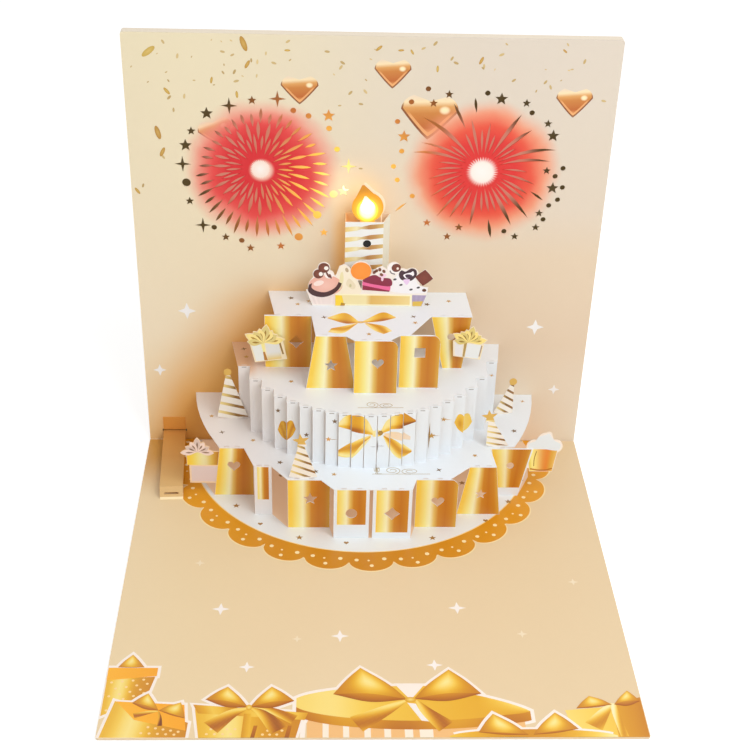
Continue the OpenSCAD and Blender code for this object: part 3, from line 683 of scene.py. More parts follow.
# Box with the large bow
wide_box = [(-63.4, -191.9), (-28.6, -191.9), (-26.2, -180.5), (-65.6, -177.5)]
wide_lid = [(-64.4, -179.8), (-25.4, -183.2), (-24.2, -179.6), (-66.4, -175.3)]
front_gifts += [outlined(wide_box, 0.055), outlined(wide_lid, 0.059), panel_film(wide_box, box_gold, 0.09),
                panel_film(wide_lid, lambda u, v: gold(0.34 + 0.3 * np.sin(u * 9) ** 2), 0.1),
                panel_film([(-48.2, -191.9), (-45.2, -191.9), (-45.0, -180), (-47.6, -180)],
                           lambda u, v: gold(0.36 + 0.2 * u), 0.12),
                panel_film([(-44.8, -191.9), (-43.4, -191.9), (-42.4, -186), (-43.8, -186)],
                           lambda u, v: gold(0.12 + 0.1 * v), 0.12),
                panel_film([(-32.6, -191.9), (-31.0, -191.9), (-30.0, -186), (-31.4, -186)],
                           lambda u, v: gold(0.12 + 0.1 * v), 0.12)]
front_gifts += dots_on([(-62, -191.4), (-49, -191.4), (-49, -186.5), (-62, -186.5)], 4, 2, 0.116)
front_gifts += dots_on([(-42, -191.4), (-33, -191.4), (-32, -187.5), (-41, -187.5)], 3, 2, 0.116)
front_gifts.append(tail([(-46.6, -177.2), (-52, -180), (-59.2, -187)], (1.2, 7.4), 0.13))
front_gifts.append(tail([(-45.2, -177.2), (-40.5, -180.5), (-34.6, -188.2)], (1.2, 7.2), 0.128, 0.4))
front_gifts.append(tail([(-45.2, -176.8), (-38, -178.2), (-29.2, -183)], (0.9, 4.8), 0.125, 0.5))
front_gifts += loop((-46.3, -176.6), (-54.2, -166.0), (-62.0, -172.6), 0.14, under=0.063)
front_gifts += loop((-45.5, -176.6), (-37.9, -166.0), (-29.4, -173.4), 0.14, under=0.067)
front_gifts.append(cutout(round_outline((-45.9, -176.8), 2.2, 2.8), gold(np.array(0.45)), 0.19, gold(np.array(0.8))))
# Round box with the largest bow
xs = np.linspace(-28.6, 57.6, 60)
oval = np.sqrt(np.maximum(1 - ((xs - 15.2) / 45.2) ** 2, 0))
lid_rear = np.column_stack([xs, -174.2 + 8.6 * oval - 0.2 * np.maximum(xs - 20, 0)])
lid_front = np.column_stack([xs, -174.4 - 9.2 * oval - 0.15 * np.maximum(xs - 48, 0)])
rim_low = lid_front + (0, -4.4)
front_gifts.append(backed(np.vstack([lid_rear, rim_low[::-1]]), 1.4, 0.03))
xb = np.linspace(-24.6, 55, 60)
body_top = np.column_stack([xb, -176.4 - 9.6 * np.sqrt(np.maximum(1 - ((xb - 15.2) / 45.2) ** 2, 0))])
body_foot = np.column_stack([xb, np.full(60, -191.9)])
front_gifts.append(stroke([(-26.2, -191.9), (-25.6, -180)], 1.8, pale_line, 0.026, count=4))
front_gifts.append(band(body_foot, body_top, (242, 188, 122), 0.05, rows=3))
for x, wide in ((-18.9, 2.2), (-11.5, 2.2), (-3.8, 2.3), (3.4, 2.4), (10.8, 3.0), (16.2, 4.9)):
    front_gifts.append(panel_film([(x, -191.9), (x + wide, -191.9), (x + wide, -180), (x, -180)],
                                  (250, 236, 214), 0.06, 2, 2))
front_gifts.append(band(rim_low, lid_front, lambda u, v: gold(0.2 + 0.16 * np.sin(u * 7) ** 2 + 0.06 * v), 0.08, rows=5))
front_gifts.append(band(lid_front, lid_rear,
                        lambda u, v: gold(0.72 - 0.3 * u + 0.1 * np.exp(-((u - 0.16) / 0.12) ** 2)
                                          + 0.3 * np.clip((u - 0.78) / 0.16, 0, 1) * v),
                        0.09, rows=8))
front_gifts.append(tail([(11.6, -173.4), (4, -178.6), (-6.6, -185.4)], (1.6, 8.6), 0.13, 0.5))
front_gifts.append(tail([(15.6, -173.2), (19.5, -179.2), (26, -186.6)], (1.4, 7.4), 0.13, 0.45))
front_gifts.append(panel_film([(17.2, -183.6), (21.4, -184.3), (15.6, -175.0), (12.4, -174.5)], (246, 238, 230), 0.122))
front_gifts.append(panel_film([(12.9, -171.8), (14.6, -171.8), (19.6, -164.4), (7.8, -164.3)], pale_line, 0.118))
front_gifts += loop((12.4, -172.6), (-4.6, -155.9), (-14.9, -169.9), 0.14, sag=0.1, under=0.035)
front_gifts += loop((15.0, -172.4), (29.0, -156.8), (40.3, -169.6), 0.14, sag=0.1, under=0.04)
front_gifts.append(cutout(round_outline((13.7, -172.9), 4.2, 2.6), gold(np.array(0.4)), 0.19, gold(np.array(0.8))))
# Lid with a bow before it
xs = np.linspace(27, 88, 40)
low_lid = np.column_stack([xs, -191.9 + 3.9 * np.sqrt(np.maximum(1 - ((xs - 57.5) / 31) ** 2, 0))])
low_foot = np.column_stack([xs, np.full(40, -192.0 + 0.02)])
front_gifts.append(stroke(low_lid[1:-1], 2.0, pale_line, 0.1, count=0))
front_gifts.append(band(low_foot, low_lid, lambda u, v: gold(0.62 - 0.3 * np.sin(u * 3.1) + 0.3 * u ** 4), 0.12, rows=3))
front_gifts += loop((55.4, -190.6), (43.6, -180.2), (37.6, -189.4), 0.14, sag=0.04, under=0.104)
front_gifts += loop((57.4, -190.6), (66.6, -179.6), (74.2, -187.8), 0.14, sag=0.04, under=0.108)
# Box at the right edge
side_box = [(74, -191.9), (99.6, -191.9), (99.6, -172), (70.6, -178.4)]
front_gifts += [panel_film([(73, -191.9), (89.6, -191.9), (88.4, -176.5), (70.6, -178.4)],
                           lambda u, v: gold(0.74 - 0.12 * u), 0.05),
                panel_film([(88.4, -191.9), (99.7, -191.9), (99.7, -171.6), (88.4, -176)],
                           lambda u, v: gold(0.42 - 0.14 * u), 0.06),
                tail([(88.6, -175), (85, -179.5), (80, -186.6)], (1.2, 7), 0.08, 0.6),
                tail([(88.8, -175), (89.4, -182), (90.6, -191.6)], (2.4, 3.0), 0.09, 0.65)]
front_gifts += loop((88.3, -175.4), (80.6, -171.0), (75.0, -177.3), 0.1, sag=0.04)[1:]
front_gifts += loop((89.4, -175.4), (95.4, -168.2), (99.4, -173.6), 0.1, sag=0.16)[1:]
printed("printed_front_gifts", front_gifts, on_base, "base_print")


# Back lining
# The printed sheet on the front of the back panel. Two crimson glows lie round the cut bursts,
# copper balloon hearts float above, a painted amber shade falls to the lower left of the cake, and
# a painted shadow of the candle lies at its left.
def balloon_heart(spot, ground, x, z, width, height, turned):
    """Paints a heart. a is the distance from its axis, from 0 to 1. Its upper edge is an arc cut by
    a V, and its lower edge is a power of a that starts at the tip."""
    c, s = math.cos(math.radians(turned)), math.sin(math.radians(turned))
    across, up = spot.x - x, spot.z - z
    p = (across * c + up * s) * (2 / width)
    q = (up * c - across * s) * (2 / height)
    a = p.maths("ABSOLUTE")
    arc = (1 - ((a - 0.3) / 0.7) ** 2) ** 0.5 * 0.72 + 0.33
    above = arc.maths("MINIMUM", a * 0.42 + 0.74) - q
    below = q + 1 - a ** 1.15 * 1.33
    inside = (above > 0) * (below > 0)
    copper = (q * 0.5 + 0.5 - p * 0.05).ramp([(0.0, (250, 214, 160)), (0.1, (236, 164, 92)), (0.26, (190, 98, 28)),
                                              (0.6, (204, 128, 52)), (0.74, (222, 160, 88)), (0.86, (248, 224, 178)),
                                              (1.0, (236, 216, 190))])
    copper = copper.painted(pigment(240, 176, 112), below.within(0.14, 0.32) * q.fade(0.3, 0.0) * 0.8)
    copper = copper.painted(pigment(255, 236, 190), ((p - 0.52) ** 2 + (q - 0.36) ** 2).fade(0.05, 0.0))
    rim = (below < 0.14) + (a + q * 0.16 > 1.0) * (q < 0.7)
    copper = copper.painted(pigment(122, 62, 24), rim.maths("MINIMUM", 1.0) * q.fade(0.72, 0.4) * 0.85)
    return ground.painted(copper, inside)


back_hearts = ((-29.5, 169.5, 15.2, 11.8, 0), (7.9, 176.8, 14.8, 12.0, 0), (23.4, 158.8, 23.6, 18.8, -2.5),
               (82.3, 165.9, 15.0, 12.3, 0.5), (-63.6, 151.0, 14.4, 12.0, 16))


def back_colour(spot):
    at_left = (spot.z / 192).ramp([(0.0, (239, 214, 168)), (0.3, (240, 223, 193)), (0.6, (236, 221, 189)),
                                   (1.0, (234, 221, 187))])
    at_right = (spot.z / 192).ramp([(0.0, (233, 219, 197)), (0.16, (231, 213, 188)), (0.27, (227, 204, 176)),
                                    (0.5, (227, 206, 178)), (0.62, (224, 209, 189)), (0.8, (222, 209, 191)),
                                    (1.0, (220, 208, 192))])
    ground = at_left.painted(at_right, spot.x.fade(-85, 60))
    ground = ground.painted(pigment(240, 212, 178), distance(spot, (-2, 112), 0.8).fade(34, 8) * 0.6)
    falls = spot.z - spot.x * 1.25 - 144.5
    shade = falls.fade(30, -34) * spot.z.fade(95, 68) * spot.x.fade(0, -30)
    ground = ground.painted(pigment(228, 168, 84), shade * (1 - spot.x.fade(-82, -100) * 0.4))
    # Painted shadow of the candle: a soft orange strip at its left.
    candle_shadow = spot.x.fade(-18, -11.5) * (spot.x < -5) * spot.z.fade(124, 106)
    ground = ground.painted(pigment(255, 210, 140), candle_shadow)
    for heart in back_hearts:
        ground = balloon_heart(spot, ground, *heart)
    for centre, colour, middle, edge, halo in (((-45.4, 134.8), (214, 14, 28), (228, 66, 62), (238, 142, 122), 5.8),
                                               ((46.8, 135.0), (220, 32, 28), (232, 82, 52), (240, 152, 112), 5.0)):
        from_middle = distance(spot, centre, 1.05)
        wavy = from_middle + (spot.noise(14, 2) - 0.5) * 6
        ground = ground.painted(pigment(*edge), wavy.fade(34, 25) * 0.9)
        ground = ground.painted(pigment(*middle), wavy.fade(29, 20))
        ground = ground.painted(pigment(*colour), wavy.fade(24, 13))
        ground = ground.painted(pigment(246, 196, 176), from_middle.fade(halo, halo - 2.4))
    return ground


def back_glow(spot):
    """Faint warm light where the lamp in the hollow shines through the sheet."""
    shine = distance(spot, lamp_in_hollow).fade(17, 0) * spot.y.within(-0.2, 0.1)
    return spot.start.node("ShaderNodeMix", {"data_type": "RGBA"}, {0: shine, 6: (0, 0, 0, 1), 7: (0.22, 0.12, 0.02, 1)}, output=2)


dress("back_lining", paper("back_print", back_colour, roughness=0.42, coat=0.15, glow=back_glow))

# Confetti, burst cores and sparkles
# Small dull gold flecks fall from the top edge, some of them large. Each burst has a white core with
# fine points, and white four-pointed sparkles lie low at both sides.
draw = np.random.default_rng(12)
flecks = []
while len(flecks) < 64:
    x, z = draw.uniform(-97, 97), 190 - abs(draw.normal(0, 24))
    size, turned, light = draw.uniform(0.9, 2.4), draw.uniform(0, 180), draw.uniform(0, 1)
    clear = all(math.hypot(x - cx, z - cz) > 38 for cx, cz in burst_centres)
    clear = clear and all(math.hypot(x - h[0], z - h[1]) > 0.7 * h[2] for h in back_hearts)
    if clear and z > 118 and z < 190.5:
        colour = np.array([186, 156, 96]) * (1 - light) + np.array([224, 198, 140]) * light
        flecks.append(cutout(round_outline((x, z), size, size * 0.45, 10, turned), colour, 0.03))
for x, z, length, turned, light in (
        (-51.6, 188.1, 6.4, 110, 0.34), (-50.3, 179.8, 3.8, 60, 0.36), (-87.5, 150.7, 6.0, 105, 0.3), (-86.1, 142.3, 4.4, 65, 0.34),
        (-97.5, 124.9, 3.4, 125, 0.42), (-89.3, 184.4, 6.6, 38, 0.62), (-82.9, 168.3, 3.6, 130, 0.5), (-64.8, 173.1, 2.8, 80, 0.5),
        (-54.8, 167.3, 3.0, 95, 0.52), (10.9, 186.5, 2.4, 5, 0.42), (15.3, 185.9, 2.4, 120, 0.5), (43.2, 182.9, 3.4, 65, 0.34),
        (25.8, 179.2, 2.8, 90, 0.56), (-34.3, 185.7, 2.4, 0, 0.5), (76.4, 187.3, 2.2, 140, 0.34), (2.1, 187.2, 3.2, 40, 0.4)):
    tone = gold(np.array(light)) * 0.56 + np.array([168, 146, 88]) * 0.38
    flecks.append(cutout(round_outline((x, z), length, length * 0.36, 14, turned), tone, 0.04, tone * 0.6 + np.array([100, 88, 60])))
printed("printed_confetti", flecks, standing_at(0.0), "back_print")
cores = [cutout(starry((-45.9, 135.3), 4.3, 34, 0.8), (250, 226, 212), 0.03, (252, 246, 240)),
         cutout(starry((46.8, 135.4), 6.8, 36, 0.66), (250, 238, 228), 0.03, (252, 246, 240))]
printed("printed_burst_cores", cores, standing_at(0.0), "back_print")
back_sparkles = [cutout(starry((x, z), r * 0.94, 4, 0.38), (244, 242, 242), 0.03)
                 for x, z, r in ((-79.6, 67.9, 4.3), (-93.3, 37.3, 3.2), (75.9, 61.4, 4.2), (87.6, 28.5, 2.8))]
printed("printed_back_sparkles", back_sparkles, standing_at(0.0), "back_print")

# Spacer frame
# Strips of grey board that hold the back panel's two faces 4 mm apart.
dress("spacer_frame", paper("grey_board", (176, 160, 138), roughness=0.8, cloud=0.2, fibre=0.3))

# Cake tiers
# Each tier is one sheet of white paper, folded and cut, with gold printed on the fronts of its
# uprights, a painted tan shade on its hidden faces and a dim painted glow there. An upright is its
# edges at the foot and at the top, its distance from the back, and the bare border and foot round its gold.
lower_uprights = ((-67, -49.5, -64, -49.5, 45, 0.1, 0.2), (-48.5, -41, -48.5, -41, 59, 1.3, 8.0),
                  (-34, -16, -34, -16, 68.6, 0.1, 0.2), (-14.5, 0.5, -14.5, 0.5, 75.5, 1.4, 7.0),
                  (2, 18.5, 2, 18.5, 75.5, 1.4, 3.0), (20.5, 38.5, 20.5, 38.5, 68, 0.1, 0.2),
                  (39.5, 58.5, 44, 55.5, 58.5, 0.1, 0.2), (59, 68, 54, 73, 44.5, 0.5, 4.5))
upper_uprights = ((-44.5, -24.4, -44.5, -24.4, 22, 0.1, 0.2), (-26.6, -5.5, -22.5, -9.9, 39.2, 0.1, 0.2),
                  (-6.3, 12, -6.3, 12, 42.9, 0.1, 0.2), (13, 30, 13, 30, 38.2, 0.1, 0.2),
                  (33, 41.5, 27, 44.7, 21.7, 0.1, 0.2))
# Painted shade: tan for the tiers' faces that look back or down.
hidden_face_shade = (222, 200, 178)


def inside_glow(spot):
    """Dim warm light on a tier's hidden faces, which comes through its thin paper."""
    hidden = ((spot.to_y > 0.5) + (spot.to_z < -0.5)).maths("MINIMUM", 1.0)
    return spot.start.node("ShaderNodeMix", {"data_type": "RGBA"},
                           {0: hidden, 6: (0, 0, 0, 1), 7: (0.14, 0.11, 0.085, 1)}, output=2)


def bare_paper(spot):
    """White outside, a little warmer at the left as painted shade, and a painted tan shade under and behind."""
    white = spot.x.fade(-64, -12).ramp([(0, (236, 229, 225)), (1, (235, 241, 246))])
    hidden = (spot.to_y > 0.5) + (spot.to_z < -0.5)
    return white.painted(pigment(*hidden_face_shade), hidden.maths("MINIMUM", 1.0))


def tier_colour(uprights, foot_z, top_z):
    """White outside, a painted tan shade under and behind, and a gold field on the front of each upright,
    read by how far across the upright a point lies."""
    def colour(spot):
        height = (spot.z - foot_z) / (top_z - foot_z)
        across, filled = None, None
        for x0, x1, x2, x3, deep, border, foot in uprights:
            left = height * (x2 - x0) + x0 if x2 != x0 else x0
            right = height * (x3 - x1) + x1 if x3 != x1 else x1
            share = (spot.x - left) / (right - left)
            wide = (x1 - x0 + x3 - x2) / 2
            here = spot.y.within(-deep - 0.2, -deep + 0.2) * share.within(border / wide, 1 - border / wide)
            here = here * spot.z.within(foot_z + foot, top_z - 0.4)
            across = share * here if across is None else across + share * here
            filled = here if filled is None else filled + here
        gilt = across.ramp([(0.0, (252, 206, 70)), (0.1, (250, 210, 78)), (0.24, (248, 232, 140)), (0.36, (250, 242, 192)),
                            (0.46, (228, 188, 92)), (0.56, (204, 132, 24)), (0.72, (194, 114, 8)), (0.88, (204, 132, 26)),
                            (1.0, (216, 168, 64))])
        return bare_paper(spot).painted(gilt, filled * (spot.to_y < -0.5))
    return colour


dress("tier_1", paper("tier_paper_1", tier_colour(lower_uprights, 0.0, 25.5), roughness=0.45, coat=0.1, glow=inside_glow))
dress("tier_3", paper("tier_paper_3", tier_colour(upper_uprights, 52.4, 78.4), roughness=0.45, coat=0.1, glow=inside_glow))


def slat_sheet_colour(spot):
    """Bare paper with a tan shade on the top sheet, at the back and the left."""
    top = spot.z > 52.3
    shade = spot.y.fade(-34, -16) * spot.x.fade(-18, -36) * 0.55
    shade = shade.maths("MAXIMUM", spot.x.fade(-44, -53) * spot.y.fade(-34, -22))
    return bare_paper(spot).painted(pigment(222, 178, 142), shade * top)


dress("tier_2", paper("tier_paper_2", slat_sheet_colour, roughness=0.45, coat=0.1, glow=inside_glow))

# Printed bows, stars and scrolls on the cake
# A gold bow lies over the middle slats and another on the top sheet. Small stars are scattered on
# all sheets, with a thin scroll before each bow.
slat_pitch, slat_left = 5.46, 0.8 - 10.5 * 5.46


def on_slats(points):
    """Place of films on the slats' fronts: each slat stands on the oval at its own distance."""
    slat = np.floor((points[:, 0] - slat_left) / slat_pitch)
    middle = slat_left + (slat + 0.5) * slat_pitch
    front = -60 * np.sqrt(1 - (middle / 57.4) ** 2)
    return np.column_stack([points[:, 0], front - points[:, 2], points[:, 1]])


def slat_films(low, high, tone, level):
    """Films between two curves that run from left to right, cut at the slits between the slats."""
    low, high = drawn(low, 40), drawn(high, 40)
    x0, x1 = low[0, 0], low[-1, 0]
    films = []
    for slat in range(21):
        left = max(slat_left + slat * slat_pitch + 0.2, x0)
        right = min(slat_left + (slat + 1) * slat_pitch - 0.2, x1)
        if right - left > 0.4:
            x = np.linspace(left, right, 7)
            below = np.column_stack([x, np.interp(x, low[:, 0], low[:, 1])])
            above = np.column_stack([x, np.interp(x, high[:, 0], high[:, 1])])
            across = (x - x0) / (x1 - x0)
            films.append(band(below, above, lambda u, v: tone(np.interp(u, np.linspace(0, 1, 7), across), v), level, rows=7))
    return films


def loop_gold(shares):
    """Gold of a printed loop by its share of light at even steps along it, brown at its lower edge."""
    at = np.linspace(0, 1, len(shares))
    return lambda u, v: gold(np.interp(u, at, shares) - 0.34 * np.exp(-((v - 0.08) / 0.2) ** 2))


bow_gold = loop_gold((0.72, 0.8, 0.6, 0.46, 0.5, 0.66, 0.8))


def tail_gold(u, v):
    return gold(0.6 + 0.26 * np.sin(5.2 * v + 3.4 * u))


slat_prints_and_shade = []
slat_prints_and_shade += slat_films([(-13.4, 46.3), (-8, 44.6), (-3.9, 43.4), (2.0, 42.6)],
                          [(-13.4, 46.9), (-10.1, 51.2), (-6.4, 52.2), (-3, 51.8), (-0.3, 49.4), (2.0, 44.0)],
                          loop_gold((0.84, 0.9, 0.8, 0.44, 0.42, 0.46, 0.68, 0.86, 0.8)), 0.04)
slat_prints_and_shade += slat_films([(5.0, 42.8), (8.9, 44.6), (14.1, 45.2), (19.8, 47.6)],
                          [(5.0, 44.2), (7.5, 49.8), (11.4, 51.8), (14.2, 52.2), (19.8, 48.4)],
                          loop_gold((0.74, 0.86, 0.84, 0.78, 0.56, 0.38, 0.36, 0.34, 0.3)), 0.04)
slat_prints_and_shade += slat_films([(-13.0, 31.2), (-9, 30.4), (-5.3, 32.2), (0.9, 41.2)],
                          [(-13.0, 34.0), (-8.4, 37.4), (-3.4, 40.6), (0.9, 42.6)], tail_gold, 0.03)
slat_prints_and_shade += slat_films([(-6.8, 30.6), (-3.0, 35.2), (0.9, 41.0)], [(-6.8, 31.4), (-3.0, 37.4), (0.9, 41.6)],
                          lambda u, v: gold(0.8 + 0.1 * u), 0.045)
slat_prints_and_shade += slat_films([(6.2, 41.2), (10.4, 32.4), (14.4, 29.6), (18.6, 32.2)],
                          [(6.2, 42.2), (11.5, 39.0), (15.0, 36.2), (18.6, 33.2)], tail_gold, 0.03)
slat_prints_and_shade += slat_films([(6.6, 41.8), (12.8, 39.2), (17.8, 38.4)], [(6.6, 43.2), (12.6, 43.2), (17.8, 40.2)],
                          lambda u, v: np.array([246, 214, 170]) + u[..., None] * np.array([-4, 6, 26]), 0.025)
slat_prints_and_shade += slat_films([(1.6, 42.0), (2.9, 41.6)], [(1.6, 44.6), (2.9, 45.0)], lambda u, v: gold(0.8 + 0.1 * v), 0.06)
slat_prints_and_shade += slat_films([(3.9, 41.6), (5.1, 42.0)], [(3.9, 45.0), (5.1, 44.4)], lambda u, v: gold(0.7 + 0.1 * v), 0.06)
slat_prints_and_shade.append(cutout(round_outline((4.9, 43.4), 2.1, 2.3), (158, 116, 44), 0.08, (186, 142, 62)))


def half_hearts(x, z_left, z_right, wide, high, left_tone, right_tone):
    """A heart printed across the slit between two slats, each half at its own height."""
    films = slat_films([(x - wide, z_left), (x - 0.6 * wide, z_left - 0.6 * high), (x, z_left - high)],
                       [(x - wide, z_left + 0.1), (x - 0.7 * wide, z_left + 0.72 * high), (x - 0.3 * wide, z_left + 0.8 * high),
                        (x, z_left + 0.56 * high)], left_tone, 0.04)
    return films + slat_films([(x, z_right - high), (x + 0.6 * wide, z_right - 0.6 * high), (x + wide, z_right)],
                              [(x, z_right + 0.56 * high), (x + 0.3 * wide, z_right + 0.8 * high),
                               (x + 0.7 * wide, z_right + 0.72 * high), (x + wide, z_right + 0.1)], right_tone, 0.04)


slat_prints_and_shade += half_hearts(-34.7, 35.3, 38.4, 3.9, 5.6,
                           lambda u, v: gold(0.44 - 0.12 * np.sin(9 * u + 7 * v)),
                           lambda u, v: gold(0.4 - 0.12 * np.sin(8 * u - 6 * v)))
slat_prints_and_shade += half_hearts(41.7, 38.6, 35.1, 4.2, 5.4,
                           lambda u, v: gold(0.62 - 0.26 * np.exp(-((u - 0.6) / 0.3) ** 2 - ((v - 0.4) / 0.3) ** 2)),
                           lambda u, v: gold(0.76 - 0.12 * u))
star_brown, star_gold = (120, 92, 62), (196, 150, 72)
for x, z, r, points, waist, colour in (
        (-38.4, 45.1, 1.2, 5, 0.4, star_brown), (-26.2, 37.9, 1.2, 5, 0.42, star_brown), (-14.3, 47.8, 1.3, 5, 0.4, star_brown),
        (-16.9, 38.8, 1.3, 5, 0.4, (222, 160, 78)), (32.3, 43.3, 1.3, 5, 0.36, star_gold), (27.2, 37.3, 1.7, 5, 0.4, star_gold)):
    slat_prints_and_shade.append(cutout(starry((x, z), r, points, waist), colour, 0.05))
grey_line = (112, 106, 104)
for x, z, reach, turned, colour in ((26.2, 37.3, 6.8, 0, (150, 118, 70)), (28.2, 37.3, 2.5, 90, (176, 142, 92)),
                                    (-14.9, 38.7, 1.9, 90, (176, 142, 104)), (33.6, 43.2, 2.2, 90, star_gold),
                                    (3.9, 36.6, 3.4, 0, grey_line), (2.1, 36.6, 1.3, 90, grey_line),
                                    (5.4, 36.8, 1.5, 90, grey_line)):
    slat_prints_and_shade.append(cutout(starry((x, z), reach, 2, 0.06, turned), colour, 0.045))
# Grey dashes under each slat's top edge: painted shade for the perforation slots at the fold.
for slat in range(21):
    middle = slat_left + (slat + 0.5) * slat_pitch
    slat_prints_and_shade.append(panel_film([(middle - 1.0, 51.6), (middle + 1.0, 51.6), (middle + 1.0, 51.9), (middle - 1.0, 51.9)],
                                  (150, 145, 144), 0.05, 2, 2))
printed("slat_prints_and_painted_shade", slat_prints_and_shade, on_slats, "tier_paper_2")


def scroll(x, y, wide, deep, colour=(184, 168, 138)):
    """Thin ornament: a base line and two flat spirals that rise from it and wind inwards."""
    films = [stroke([(x - 0.75 * wide, y), (x, y + 0.15), (x + 0.8 * wide, y + 0.3)], 0.3, colour, 0.03, 12)]
    wound = np.linspace(0, 1, 44)
    for middle, reach, way, tall in ((-0.27, 0.24, 1, 1.0), (0.24, 0.27, -1, 0.8)):
        turn_at = -math.pi / 2 + way * 2 * math.pi * 1.7 * wound
        size = 1 - 0.74 * wound
        films.append(stroke(np.column_stack([x + wide * (middle + reach * size * np.cos(turn_at)),
                                             y + deep * tall * (0.5 + 0.5 * size * np.sin(turn_at))]), 0.28, colour, 0.03, count=0))
    return films


def scattered_stars(places, level=0.03):
    """Small five-pointed and four-pointed stars by turns at places on a sheet."""
    return [cutout(starry((x, y), 1.5 if i % 2 else 1.3, 4 if i % 3 == 1 else 5, 0.3 if i % 3 == 1 else 0.42, 17 * i),
                   star_brown if i % 2 else star_gold, level) for i, (x, y) in enumerate(places)]


lower_sheet = scroll(14.5, -64.3, 15, 5.4) + scroll(3.8, -64.3, 2.6, 9.0)
lower_sheet += scattered_stars([(-69, -20), (-63.6, -33), (-49.7, -39.2), (-37.5, -56), (72.6, -5.8), (66, -30.5), (46.8, -50),
                                (30.4, -61), (-14.4, -64.6), (-22.3, -62.6)])
printed("printed_lower_sheet", lower_sheet, lying_at(25.5), "tier_paper_1")
middle_sheet = scroll(4.6, -54.2, 12.4, 4.8)
middle_sheet += scattered_stars([(-53.2, -13.1), (-54.6, -6.2), (-33.0, -33.6), (29.0, -37.3), (54.3, -27.3)])
printed("printed_middle_sheet", middle_sheet, lying_at(52.4), "tier_paper_2")


def flat_loop(low, high, level):
    return band(drawn(low, 20), drawn(high, 20), bow_gold, level, rows=7)


upper_sheet = [
    flat_loop([(-17.5, -24.4), (-10, -28.7), (-4.2, -28.0)], [(-17.5, -23.6), (-9.9, -19.6), (-4.2, -27.0)], 0.04),
    flat_loop([(-2.8, -28.0), (5.6, -26.4), (11.6, -23.4)], [(-2.8, -27.0), (5.9, -18.8), (11.6, -22.6)], 0.04),
    band(drawn([(-17.4, -36.2), (-11, -36.9), (-5.0, -28.9)], 12), drawn([(-15.9, -33), (-10.4, -30.8), (-4.6, -28.0)], 12),
         tail_gold, 0.03, rows=6),
    band(drawn([(-1.8, -28.6), (2.0, -34.4), (6.0, -37.4)], 12), drawn([(-1.2, -28.0), (6.4, -30.6), (9.6, -34.8)], 12),
         tail_gold, 0.03, rows=6),
    cutout(round_outline((-3.5, -27.5), 2.6, 1.6), (214, 160, 60), 0.06, (250, 226, 150))]
upper_sheet += scattered_stars([(-0.2, -37.6), (-19, -23.5), (19.7, -27.5), (25.7, -11.1), (-25.7, -9.1), (-33.4, -6.5), (35.4, -8),
                                (19.2, -22.2), (-30.4, -12)])
printed("printed_upper_sheet", upper_sheet, lying_at(78.4), "tier_paper_3")

# Candle
# A folded white sheet with slanting gold stripes, darker to the right.
def candle_colour(spot):
    across = (spot.x + 10.3) / 16.1
    level = spot.z - 81.8 - across * 2.0
    step = 4.72
    beside = ((level / step).maths("FRACT") - 0.5).maths("ABSOLUTE") * step
    half_wide = across.ramp([(0, (174, 174, 174)), (0.3, (166, 166, 166)), (0.42, (124, 124, 124)), (0.52, (146, 146, 146)),
                             (0.66, (172, 172, 172)), (1, (158, 158, 158))]) * 2.6
    gilt = across.ramp([(0, (238, 206, 128)), (0.16, (240, 218, 150)), (0.3, (244, 232, 188)), (0.42, (222, 196, 140)),
                        (0.6, (184, 128, 72)), (0.8, (196, 148, 84)), (1, (222, 190, 118))])
    front = spot.y < -8.8
    side = (spot.to_x > 0.3) * (spot.x > 5.4)
    inner = (1 - front) * (1 - side)
    # The inner faces are a warm peach as painted shade, like the back beside the candle.
    warm = ((spot.x + 10) / 19).ramp([(0, (248, 206, 152)), (0.74, (248, 206, 152)), (0.84, (240, 218, 190))])
    plain = front.ramp([(0, (240, 240, 236)), (1, (240, 240, 236))]).painted(warm, inner).painted(pigment(232, 232, 216), side)
    return plain.painted(gilt, (beside < half_wide) * (spot.to_y < -0.5) * front * (level > 0))


def candle_glow(spot):
    """Warm light of the flame's lamp on the candle's inner faces."""
    inner = (spot.y > -8.7) * (spot.x < 5.4)
    return (inner * (spot.x + 10.4) / 19).ramp([(0, (0, 0, 0)), (0.02, (100, 70, 40)), (0.74, (100, 70, 40)), (0.84, (170, 172, 156))])


dress("candle", paper("candle_paper", candle_colour, roughness=0.45, coat=0.1, glow=candle_glow))


# Flame
# A small gold sheet cut to a flame, with a lit core, and a pale sheet behind it.
def flame_colour(spot):
    """Orange gold, darker and browner towards the rim."""
    return distance(spot, (-1.1, 121.4)).fade(3, 10).ramp([(0.0, (250, 200, 60)), (0.5, (240, 168, 26)), (1, (218, 142, 20))])


def flame_light(spot):
    """Light of the lamp through the sheet: a white core with a yellow edge."""
    return (distance(spot, (-1.2, 121.3), 0.88) / 8).ramp([(0.0, (255, 255, 246)), (0.34, (255, 255, 226)), (0.47, (250, 222, 66)),
                                                          (0.6, (140, 76, 8)), (1.0, (40, 20, 0))])


def backing_colour(spot):
    return distance(spot, (-1.1, 123.4)).fade(3, 6).ramp([(0, (255, 250, 214)), (1, (250, 236, 204))])


def backing_light(spot):
    shine = distance(spot, (-1.1, 123.0)).fade(5.5, 1.5)
    return spot.start.node("ShaderNodeMix", {"data_type": "RGBA"}, {0: shine, 6: (0.0, 0.0, 0.0, 1), 7: (1.0, 0.92, 0.6, 1)}, output=2)


dress("flame", paper("flame_paper", flame_colour, roughness=0.4, coat=0.1, glow=flame_light))
dress("flame_backing", paper("flame_glow", backing_colour, roughness=0.5, glow=backing_light))

